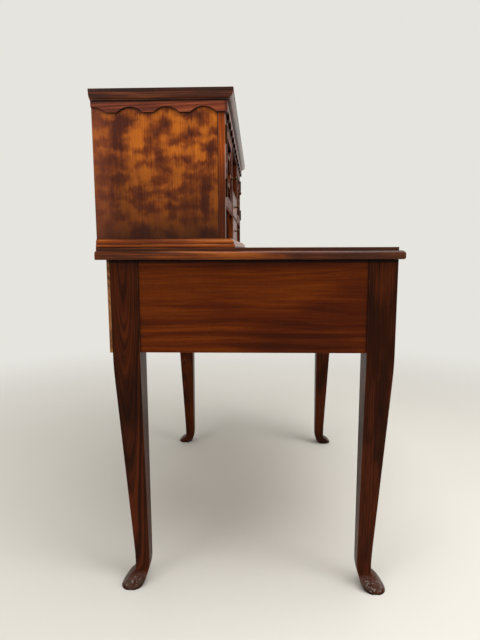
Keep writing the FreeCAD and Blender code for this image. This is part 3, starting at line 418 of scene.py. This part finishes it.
def finish_node(name, material, arris=0.0):
    """Gives a CAD node its finish, and eases its sharp edges by the given radius."""
    piece = cad_nodes[name]
    for slot in piece.material_slots:
        slot.material = material
    if arris:
        weld = piece.modifiers.new("weld", "WELD")
        weld.merge_threshold = 0.00001
        ease = piece.modifiers.new("ease", "BEVEL")
        ease.width = arris
        ease.segments = 2
        ease.limit_method = "ANGLE"
        ease.angle_limit = radians(40)


leg_arris = 0.0012
leg_tones = (rgb(29, 10, 2), rgb(47, 18, 4), rgb(76, 31, 10))
pale_leg_tones = (rgb(36, 13, 3), rgb(60, 24, 6), rgb(92, 42, 14))
for side, end in (("left", -1), ("right", 1)):
    back_wood = polished_wood(
        f"leg_back_{side}_mahogany", "Z", *(leg_tones if end < 0 else pale_leg_tones),
        pith=(end * 0.374, 0.256), ring=0.0030, lean=(0.0, end * -5.0), wander=0.010,
        weights=(0.5, 0.22, 0.28), gloss=0.05)
    front_wood = polished_wood(
        f"leg_front_{side}_mahogany", "Z", *leg_tones, pith=(end * 0.43, -0.12), ring=0.0028,
        lean=(0.6, -0.6), wander=0.01, weights=(0.3, 0.35, 0.35), gloss=0.05)
    for name, wood in ((f"leg_back_{side}", back_wood), (f"leg_front_{side}", front_wood)):
        # Painted sheen and highlights, with scuffs, on the tops of the feet.
        sheen_and_scuff_foot(wood)
        # A painted shadow, with dirt, under the desktop's overhang.
        shadow_under_top(wood, name)
        finish_node(name, wood, leg_arris)


# ---------------------------------------------------------------------------------------------
# Aprons, back board and front rails
# Deep end aprons with their grain lengthwise, tenoned between the legs a little behind their
# faces, rails above and below the frieze drawers, and a plainer board screwed on across the back.
def aged_brass(name, dark, bright, rough):
    """Turned and cast brass, dulled to brown and rubbed bright in cloudy patches."""
    material, tree, shader = new_material(name)
    place = object_place(tree)
    patina = noise(tree, place, scale=90.0, detail=5.0)
    feed(shader, {
        "Base Color": shade_ramp(tree, patina, [(0.34, dark), (0.66, bright)]),
        "Metallic": 1.0,
        "Roughness": between(tree, patina, low=rough * 1.4, high=rough * 0.7),
    })
    emboss(tree, shader, noise(tree, place, scale=1400.0), strength=0.12, depth=0.0001)
    return material


def add_piece(name, mesh, material, body):
    """A new piece from a finished bmesh, riding on a body, with one material."""
    piece = bpy.data.objects.new(name, mesh_data(name, mesh))
    piece.data.materials.append(material)
    bpy.context.scene.collection.objects.link(piece)
    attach(piece, body)
    return piece


def move_new(mesh, made, way):
    """Moves what an operator has made."""
    moved = [item for item in made["geom"] if isinstance(item, bmesh.types.BMVert)]
    bmesh.ops.translate(mesh, vec=way, verts=moved)


def slotted_screws(name, body, spots, radius, stand, material):
    """Countersunk screws with slotted heads, each at a place on a face and looking out of it."""
    slot_width = radius * 0.3
    lift = 0.00002
    first_turn = 0.4
    next_turn = 0.7
    heads = bmesh.new()
    for number, (spot, outward) in enumerate(spots):
        head = bmesh.new()
        bmesh.ops.create_circle(head, cap_ends=True, segments=24, radius=radius)
        for edge in (-slot_width / 2, slot_width / 2):
            bmesh.ops.bisect_plane(head, geom=head.verts[:] + head.edges[:] + head.faces[:],
                                   plane_co=(edge, 0.0, 0.0), plane_no=(1.0, 0.0, 0.0))
        lands = [face for face in head.faces if abs(face.calc_center_median().x) > slot_width / 2]
        move_new(head, bmesh.ops.extrude_face_region(head, geom=lands), (0.0, 0.0, stand))
        bmesh.ops.delete(head, geom=lands, context="FACES_ONLY")
        bmesh.ops.recalc_face_normals(head, faces=head.faces)
        driven_home = Matrix.Rotation(next_turn * number + first_turn, 4, "Z")
        facing = outward.to_track_quat("Z", "Y").to_matrix().to_4x4()
        lifted = Matrix.Translation(spot + outward * lift)
        bmesh.ops.transform(head, matrix=lifted @ facing @ driven_home, verts=head.verts)
        data = mesh_data("screw_head", head)
        heads.from_mesh(data)
        bpy.data.meshes.remove(data)
    add_piece(name, heads, material, body)


apron_arris = 0.0005
rail_tones = (rgb(46, 15, 3), rgb(84, 32, 8), rgb(126, 58, 16))
apron_wood = polished_wood(
    "apron_mahogany", "Y", rgb(54, 17, 0), rgb(76, 27, 0), rgb(102, 44, 4), pith=(-0.52, 0.66),
    ring=0.009, lean=(0.8, -0.8), wander=0.03, weights=(0.35, 0.3, 0.35), cloud_size=0.09, gloss=0.06)
# A painted shadow, with dirt, under the desktop's overhang.
shadow_under_top(apron_wood, "side_apron_left")
rail_wood = polished_wood("rail_mahogany", "X", *rail_tones, pith=(-0.4, 0.5), ring=0.005)
divider_wood = polished_wood("divider_mahogany", "Z", *rail_tones, ring=0.005)
board_wood = polished_wood(
    "back_board_wood", "X", rgb(78, 44, 20), rgb(118, 72, 36), rgb(152, 104, 58), pith=(0.36, 0.62),
    ring=0.008, wander=0.02, rough=0.6, gloss=0.2)
for name, wood in {
    "side_apron_left": apron_wood,
    "side_apron_right": apron_wood,
    "front_rail_top": rail_wood,
    "front_rail_bottom": rail_wood,
    "drawer_divider": divider_wood,
    "back_board": board_wood,
}.items():
    finish_node(name, wood, apron_arris)

board_screw_radius = 0.0036
board_screw_stand = 0.0003
end_screw_inset = 0.024
end_screw_heights = (0.562, 0.632, 0.702)
top_screw_height = 0.714
top_screw_spacing = 0.2
screw_steel = aged_brass("dull_screws", rgb(38, 34, 30), rgb(92, 84, 74), 0.5)
board_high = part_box("back_board")[1]
backwards = Vector((0.0, 1.0, 0.0))
board_spots = [(Vector((end * (board_high.x - end_screw_inset), board_high.y, height)), backwards)
               for end in (-1, 1) for height in end_screw_heights]
board_spots += [(Vector((step * top_screw_spacing, board_high.y, top_screw_height)), backwards)
                for step in (-1, 0, 1)]
slotted_screws("back_board_screws", "carcass", board_spots, board_screw_radius, board_screw_stand,
               screw_steel)

# ---------------------------------------------------------------------------------------------
# Drawer ways
# Planed, unpolished rails, runners, guides, kickers and stops, which only show with a drawer out.
ways_arris = 0.0006
ways_tones = (rgb(120, 84, 48), rgb(166, 124, 78), rgb(198, 158, 108))
ways_wood = polished_wood("ways_wood", "Y", *ways_tones, pith=(0.2, 0.3), rough=0.65)
rails_wood = polished_wood("back_rails_wood", "X", *ways_tones, pith=(0.2, 0.3), rough=0.65)
for name in ("drawer_runners", "drawer_guides", "drawer_kickers", "drawer_stops"):
    finish_node(name, ways_wood, ways_arris)
finish_node("back_rails", rails_wood, ways_arris)

# ---------------------------------------------------------------------------------------------
# Desktop
# A solid mahogany top with a thumb-moulded edge run round it, its grain along the desk and the
# moulding mitred at the corners.
moulded_edge = 0.028
darkening_from_y = 0.05
darkest_y = -0.25
desktop_wood = polished_wood(
    "desktop_mahogany", "X", rgb(46, 18, 3), rgb(94, 40, 6), rgb(140, 72, 15), pith=(0.1, 0.9),
    ring=0.006, wander=0.02, weights=(0.35, 0.4, 0.25), mitre=(*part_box("desktop"), moulded_edge, "XY"),
    rough=0.13, gloss=0.18)
# Darker towards the front of the top.
tone_towards(desktop_wood, "Y", darkening_from_y, darkest_y, tone=rgb(46, 20, 10), amount=0.7)
finish_node("desktop", desktop_wood)

# ---------------------------------------------------------------------------------------------
# Writing leather
# A skiver let into the top, oxblood and rubbed, with two gilt lines tooled round its border.
hide_arris = 0.0004
hide_dark = rgb(52, 17, 12)
hide_light = rgb(92, 34, 24)
gilt = rgb(196, 152, 74)
gilt_lines = {0.011: 0.0011, 0.0145: 0.0004}  # how far in from the edge, and half the line's width

leather, tree, shader = new_material("tooled_leather")
hide_low, hide_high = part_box("writing_leather")
place = object_place(tree)
centred = add_node(tree, "Mapping", {"Vector": place, "Location": -(hide_low + hide_high) / 2})
off_middle = calculate(tree, "ABSOLUTE", centred.outputs["Vector"], kind="VectorMath")
room = split(tree, calculate(tree, "SUBTRACT", (hide_high - hide_low) / 2, off_middle, kind="VectorMath"))
from_edge = calculate(tree, "MINIMUM", room["X"], room["Y"])
tooled = calculate(tree, "MAXIMUM", *(calculate(tree, "COMPARE", from_edge, inset, half_width)
                                      for inset, half_width in gilt_lines.items()))
wear = noise(tree, place, scale=9.0, detail=6.0)
feed(shader, {
    "Base Color": mix(tree, mix(tree, hide_dark, hide_light, wear), gilt, tooled),
    "Metallic": tooled,
    "Roughness": between(tree, wear, low=0.42, high=0.6),
})
pebbles = add_node(tree, "TexVoronoi", {"Vector": place, "Scale": 700.0}, feature="DISTANCE_TO_EDGE")
emboss(tree, shader, pebbles.outputs["Distance"], strength=0.35, depth=0.0003)
finish_node("writing_leather", leather, hide_arris)


# ---------------------------------------------------------------------------------------------
# Frieze drawers
# Two drawers side by side: figured fronts with a bead round the edge, dovetailed pale boxes and
# bottoms with their grain across, each pulled by two turned brass knobs.
def drawer_box_wood(name):
    """Pale, unpolished wood whose grain follows the sides and the back of a drawer's box."""
    board_width = 0.012
    return polished_wood(name + "_wood", "X", rgb(128, 92, 54), rgb(172, 132, 86), rgb(204, 166, 116),
                         pith=(0.15, 0.4), rough=0.65, mitre=(*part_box(name), board_width, "XY"))


def lap_dovetails(material, name, count, lap):
    """Tails of the pale sides, let into the ends of a drawer front as far as a lap behind its face."""
    tail_tone = rgb(166, 126, 80)
    seam_tone = rgb(30, 16, 8)
    half_seam = 0.00035
    flare = 0.16
    root_share = 0.33
    least_sideways = 0.8
    tree = material.node_tree
    low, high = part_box(name)
    pitch = (high.z - low.z) / count
    half_root = root_share * pitch
    axes = split(tree, object_place(tree))
    sideways = calculate(tree, "ABSOLUTE", surface_facing(tree)["X"])
    on_end = calculate(tree, "GREATER_THAN", sideways, least_sideways)
    turn = calculate(tree, "FRACT", calculate(tree, "MULTIPLY_ADD", axes["Z"], 1 / pitch, -low.z / pitch))
    off_middle = calculate(tree, "ABSOLUTE", calculate(tree, "SUBTRACT", turn, 0.5))
    half_width = calculate(tree, "MULTIPLY_ADD", axes["Y"], -flare, half_root + flare * high.y)
    inside = calculate(tree, "SUBTRACT", half_width, calculate(tree, "MULTIPLY", off_middle, pitch))
    depth = calculate(tree, "SUBTRACT", axes["Y"], low.y + lap)
    within = calculate(tree, "MINIMUM", inside, depth)
    tail = calculate(tree, "GREATER_THAN", within, 0.0)
    seam = calculate(tree, "COMPARE", within, 0.0, half_seam)
    lay_over(material, tail_tone, calculate(tree, "MULTIPLY", tail, on_end))
    lay_over(material, seam_tone, calculate(tree, "MULTIPLY", seam, on_end))


knob_profile = [  # how far out of the face and how far from the axis, as shares of depth and radius
    (0.00, 0.60), (0.03, 0.62), (0.055, 0.60), (0.06, 0.54), (0.09, 0.53), (0.13, 0.46), (0.19, 0.37),
    (0.30, 0.31), (0.40, 0.32), (0.45, 0.38), (0.455, 0.44), (0.485, 0.46), (0.515, 0.44), (0.52, 0.40),
    (0.56, 0.52), (0.61, 0.78), (0.66, 0.93), (0.72, 1.00), (0.78, 0.99), (0.84, 0.90), (0.885, 0.74),
    (0.90, 0.60), (0.89, 0.54), (0.905, 0.50), (0.945, 0.40), (0.98, 0.22), (1.00, 0.0),
]


def turn_knobs(name, body, radius, brass):
    """Turned knobs in place of a node's plain ones, at each end of its box, riding on a body."""
    low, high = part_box(name)
    middle = (low.z + high.z) / 2
    depth = high.y - low.y
    turned = bmesh.new()
    for x in sorted({round(low.x + radius, 5), round(high.x - radius, 5)}):
        outline = [turned.verts.new((x + share * radius, high.y - out * depth, middle))
                   for out, share in knob_profile]
        lines = [turned.edges.new(pair) for pair in zip(outline, outline[1:])]
        bmesh.ops.spin(turned, geom=outline + lines, cent=(x, 0.0, middle), axis=(0.0, 1.0, 0.0),
                       angle=2 * pi, steps=40, use_merge=True)
    bmesh.ops.remove_doubles(turned, verts=turned.verts, dist=0.00002)
    bmesh.ops.recalc_face_normals(turned, faces=turned.faces)
    for face in turned.faces:
        face.smooth = True
    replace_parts(add_piece(name + "_turned", turned, brass, body), name)


bead_arris = 0.0005
front_tones = (rgb(50, 17, 4), rgb(98, 40, 8), rgb(150, 74, 20))
front_figure = {
    "pith": (-0.3, 0.62), "ring": 0.006, "lean": (2.0, -2.0), "wander": 0.03,
    "weights": (0.35, 0.3, 0.35), "cloud_size": 0.045, "bars": 0.4,
}
front_wood = polished_wood("drawer_front_mahogany", "X", *front_tones, **front_figure)
lap_dovetails(front_wood, "drawer_left_front", count=4, lap=0.006)
bottom_wood = polished_wood(
    "drawer_bottom_wood", "X", rgb(122, 86, 50), rgb(166, 126, 82), rgb(198, 160, 112), pith=(0.4, 0.5),
    ring=0.006, rough=0.65)
drawer_knob_radius = 0.014
knob_brass = aged_brass("knob_brass", rgb(66, 46, 22), rgb(138, 102, 52), 0.28)
for side in ("left", "right"):
    finish_node(f"drawer_{side}_front", front_wood, bead_arris)
    finish_node(f"drawer_{side}_box", drawer_box_wood(f"drawer_{side}_box"), bead_arris)
    finish_node(f"drawer_{side}_bottom", bottom_wood)
    turn_knobs(f"drawer_{side}_knobs", f"drawer_{side}", drawer_knob_radius, knob_brass)


# ---------------------------------------------------------------------------------------------
# Case base and sides
# The case stands on a moulded base board. Each side is a mottled panel behind a stile at the
# front edge, and thin unpolished boards close the back.
def board_joints(material, pitch, gap):
    """Joints between upright boards, which differ a little in tone from one another."""
    darker_tone = rgb(96, 62, 34)
    joint_tone = rgb(26, 16, 9)
    tree = material.node_tree
    boards = calculate(tree, "DIVIDE", split(tree, object_place(tree))["X"], pitch)
    number = calculate(tree, "FLOOR", boards)
    chance = add_node(tree, "TexWhiteNoise", {"W": number}, noise_dimensions="1D").outputs["Value"]
    joint = calculate(tree, "LESS_THAN", calculate(tree, "FRACT", boards), gap / pitch)
    lay_over(material, darker_tone, between(tree, chance, low=0.0, high=0.4))
    lay_over(material, joint_tone, joint)


case_arris = 0.0005
base_moulding = 0.03
base_wood = polished_wood(
    "case_base_mahogany", "X", rgb(76, 28, 4), rgb(124, 56, 12), rgb(168, 92, 28), pith=(0.0, 1.1),
    weights=(0.25, 0.5, 0.25), mitre=(*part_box("case_base"), base_moulding, "XY"), rough=0.25, gloss=0.12)

# The panels are brightest under the frieze, darker towards the foot and paler towards the back, with a
# dark seam by the stile.
panel_low, panel_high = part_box("case_side_left")
# Its painted shade in the corners reaches further, to draw a dark line under the frieze's arches.
figured_wood = polished_wood(
    "figured_mahogany", "Z", rgb(70, 28, 13), rgb(120, 56, 17), rgb(182, 98, 26), pith=(-0.3, 0.2),
    ring=0.012, lean=(1.0, -1.0), wander=0.03, weights=(0.14, 0.24, 0.62), cloud_size=0.033, bars=0.55,
    gloss=0.12, crevice=0.011)
for axis, start, end, tone, amount in (
    ("Z", panel_high.z - 0.07, panel_low.z + 0.03, rgb(52, 19, 6), 0.72),
    ("Z", panel_low.z + 0.05, panel_low.z, rgb(30, 12, 5), 0.6),
    ("Y", panel_low.y + 0.003, panel_low.y, rgb(26, 10, 4), 0.9),
    ("Y", panel_high.y - 0.06, panel_high.y, rgb(112, 58, 42), 0.4),
):
    tone_towards(figured_wood, axis, start, end, tone, amount)
stile_wood = polished_wood(
    "stile_mahogany", "Z", rgb(88, 34, 6), rgb(126, 54, 12), rgb(166, 82, 22), pith=(-0.36, 0.1),
    weights=(0.3, 0.5, 0.2), gloss=0.12)
tone_towards(stile_wood, "Z", start=panel_high.z - 0.08, end=panel_high.z - 0.20, tone=rgb(50, 16, 4),
            amount=0.88)
top_rail_wood = polished_wood(
    "case_mahogany", "X", rgb(42, 14, 5), rgb(78, 30, 10), rgb(118, 54, 22), pith=(0.2, 0.8), ring=0.006)

back_board_width = 0.118
back_board_gap = 0.0011
case_back_wood = polished_wood(
    "case_back_wood", "Z", rgb(104, 68, 36), rgb(146, 104, 60), rgb(178, 136, 88), pith=(0.3, 0.4),
    ring=0.007, wander=0.03, rough=0.65)
board_joints(case_back_wood, back_board_width, back_board_gap)
finish_node("case_base", base_wood)
finish_node("case_side_left", figured_wood, case_arris)
finish_node("case_side_right", figured_wood, case_arris)
finish_node("case_stiles", stile_wood, case_arris)
finish_node("case_top_rail", top_rail_wood, case_arris)
finish_node("case_back", case_back_wood, case_arris)

# ---------------------------------------------------------------------------------------------
# Case inside
# Upright partitions and thin shelves, housed into one another, divide the open centre with its
# two small drawers from the pigeonholes and glazed cupboards at each end.
inner_tones = (rgb(48, 17, 6), rgb(88, 36, 14), rgb(130, 64, 28))
inner_wood = polished_wood("shelf_mahogany", "X", *inner_tones, pith=(0.2, 0.9), ring=0.006,
                           rough=0.55, gloss=0.03)
upright_wood = polished_wood("partition_mahogany", "Z", *inner_tones, pith=(0.1, 0.2), ring=0.006,
                             rough=0.55, gloss=0.03)
for name in ("centre_shelf", "pigeonhole_shelves", "small_drawer_dustboard"):
    finish_node(name, inner_wood, case_arris)
for name in ("partition_left", "partition_right", "pigeonhole_dividers"):
    finish_node(name, upright_wood, case_arris)


# ---------------------------------------------------------------------------------------------
# Friezes and cornice
# Thin boards sawn into a row of arches hang round the top of the case, under a moulded cornice
# that is mitred at the corners.
def shade_sawn_underside(material):
    """Painted shade on the sawn edges that look down."""
    tree = material.node_tree
    downward = spread(tree, surface_facing(tree)["Z"], low=-0.35, high=-0.65, top=0.9)
    lay_over(material, rgb(12, 5, 3), downward)


frieze_arris = 0.0004
frieze_tones = (rgb(60, 21, 11), rgb(106, 43, 22), rgb(152, 74, 44))
for part, grain in (("front", "X"), ("ends", "Y")):
    frieze_wood = polished_wood(f"frieze_{part}_mahogany", grain, *frieze_tones, pith=(0.0, 1.4),
                                weights=(0.3, 0.4, 0.3), gloss=0.2)
    shade_sawn_underside(frieze_wood)
    finish_node(f"frieze_{part}", frieze_wood, frieze_arris)

cornice_moulding = 0.03
cornice_low, cornice_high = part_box("cornice")
cornice_wood = polished_wood(
    "cornice_mahogany", "X", rgb(46, 18, 7), rgb(88, 39, 16), rgb(138, 74, 38), pith=(0.1, 1.5),
    weights=(0.25, 0.5, 0.25), mitre=(cornice_low, cornice_high, cornice_moulding, "XY"), rough=0.2,
    gloss=0.24)
tone_towards(cornice_wood, "Z", start=cornice_high.z - 0.0055, end=cornice_high.z - 0.0045,
            tone=rgb(24, 10, 5), amount=0.72)
finish_node("cornice", cornice_wood)

# ---------------------------------------------------------------------------------------------
# Small drawers
# A stack of two in the middle of the case, made as the frieze drawers are, with one knob each of
# duller brass.
small_knob_radius = 0.0055
small_knob_brass = aged_brass("small_knob_brass", rgb(38, 27, 15), rgb(96, 70, 38), 0.32)
for level in ("lower", "upper"):
    drawer = f"small_drawer_{level}"
    small_front_wood = polished_wood(f"{drawer}_mahogany", "X", *front_tones, **front_figure)
    lap_dovetails(small_front_wood, f"{drawer}_front", count=3, lap=0.005)
    finish_node(f"{drawer}_front", small_front_wood, bead_arris)
    finish_node(f"{drawer}_box", drawer_box_wood(f"{drawer}_box"), bead_arris)
    finish_node(f"{drawer}_bottom", bottom_wood)
    turn_knobs(f"{drawer}_knob", drawer, small_knob_radius, small_knob_brass)

# ---------------------------------------------------------------------------------------------
# Doors
# Mahogany frames with one sheet of old, faintly wavy glass each, held by beads at the back. Slim
# bars in front of it make a long hexagon tied to the frame, and a small brass knob pulls the door.
old_glass, tree, shader = new_material("old_glass")
place = object_place(tree)
film = noise(tree, place, scale=14.0, detail=4.0)
feed(shader, {
    "Base Color": mix(tree, rgb(244, 248, 246), rgb(232, 240, 236), film),
    "Transmission Weight": 1.0,
    "IOR": 1.2,
    "Roughness": between(tree, film, low=0.005, high=0.045),
})
emboss(tree, shader, noise(tree, place, scale=22.0), strength=0.1, depth=0.001)

bead_width = 0.005
bead_fit = 0.00005
bead_ease = 0.0003


def glazing_beads(side, material):
    """Strips behind a door's glass. The upright ones fill the stiles' rebates from end to end, with
    a step round the glass, and the level ones are chamfered towards the glass."""
    frame_low, frame_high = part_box(f"door_{side}_frame")
    glass_low, glass_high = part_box(f"door_{side}_glass")
    front, back = glass_high.y + bead_fit, frame_high.y - bead_fit
    rebate = glass_low.y + bead_fit
    foot, head = frame_low.z + bead_fit, frame_high.z - bead_fit
    under, over = glass_low.z - bead_fit, glass_high.z + bead_fit
    stepped = [(rebate, foot), (back, foot), (back, head), (rebate, head), (rebate, over), (front, over),
               (front, under), (rebate, under)]
    strips = [(stepped, glass_low.x + bead_fit, glass_low.x + bead_width - bead_fit),
              (stepped, glass_high.x - bead_width + bead_fit, glass_high.x - bead_fit)]
    for sill, inward in ((glass_low.z + bead_fit, 1), (glass_high.z - bead_fit, -1)):
        inner = sill + inward * (bead_width - bead_fit)
        chamfered = [(front, sill), (back, sill), (back, (sill + inner) / 2),
                     ((front + back) / 2, inner), (front, inner)]
        strips.append((chamfered, glass_low.x + bead_width + bead_fit,
                       glass_high.x - bead_width - bead_fit))
    beads = bmesh.new()
    for outline, start, end in strips:
        section = beads.faces.new([beads.verts.new((start, y, z)) for y, z in outline])
        move_new(beads, bmesh.ops.extrude_face_region(beads, geom=[section]), (end - start, 0.0, 0.0))
    bmesh.ops.recalc_face_normals(beads, faces=beads.faces)
    bmesh.ops.bevel(beads, geom=beads.edges[:], offset=bead_ease, segments=1, affect="EDGES")
    bmesh.ops.triangulate(beads, faces=beads.faces)
    add_piece(f"door_{side}_beads", beads, material, f"door_{side}")


widest_member = 0.05
door_tones = (rgb(46, 16, 5), rgb(86, 34, 12), rgb(130, 62, 26))
door_finish = {"pith": (0.08, 0.8), "ring": 0.005, "rough": 0.4, "gloss": 0.05}
# The glazing bars take a brown painted shade, close into their corners.
bars_wood = polished_wood("glazing_bars_mahogany", "X", *door_tones, **door_finish,
                          corner_shade=rgb(54, 21, 8), crevice=0.002)
for side in ("left", "right"):
    door_wood = polished_wood(f"door_{side}_mahogany", "X", *door_tones, **door_finish,
                              mitre=(*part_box(f"door_{side}_frame"), widest_member, "XZ"))
    finish_node(f"door_{side}_frame", door_wood, case_arris)
    finish_node(f"door_{side}_bars", bars_wood, case_arris)
    finish_node(f"door_{side}_glass", old_glass)
    glazing_beads(side, door_wood)
    turn_knobs(f"door_{side}_knob", f"door_{side}", small_knob_radius, small_knob_brass)

# ---------------------------------------------------------------------------------------------
# Hinges
# Solid brass butts, two to a door, with the knuckle standing just proud of the stile, and three
# slotted screws in each leaf.
hinge_brass = aged_brass("hinge_brass", rgb(28, 19, 11), rgb(72, 52, 30), 0.5)
for name in ("case_hinges", "door_left_hinges", "door_right_hinges"):
    finish_node(name, hinge_brass)

hinge_screw_radius = 0.0019
hinge_screw_stand = 0.00012
leaf_middle_y = 0.053
case_leaf_x = 0.4172
door_leaf_x = 0.4168
hinge_feet = (0.853, 0.957)
screws_up_a_leaf = (0.006, 0.018, 0.030)
screw_heights = [foot + up for foot in hinge_feet for up in screws_up_a_leaf]
leaf_faces = {  # body: where its leaves' faces are, and the way that each looks
    "carcass": ((-case_leaf_x, 1.0), (case_leaf_x, -1.0)),
    "door_left": ((-door_leaf_x, -1.0),),
    "door_right": ((door_leaf_x, 1.0),),
}
screw_brass = aged_brass("screw_brass", rgb(58, 42, 24), rgb(140, 110, 66), 0.42)
for body, faces in leaf_faces.items():
    spots = [(Vector((leaf_x, leaf_middle_y, height)), Vector((outward, 0.0, 0.0)))
             for leaf_x, outward in faces for height in screw_heights]
    slotted_screws(f"{body}_hinge_screws", body, spots, hinge_screw_radius, hinge_screw_stand, screw_brass)
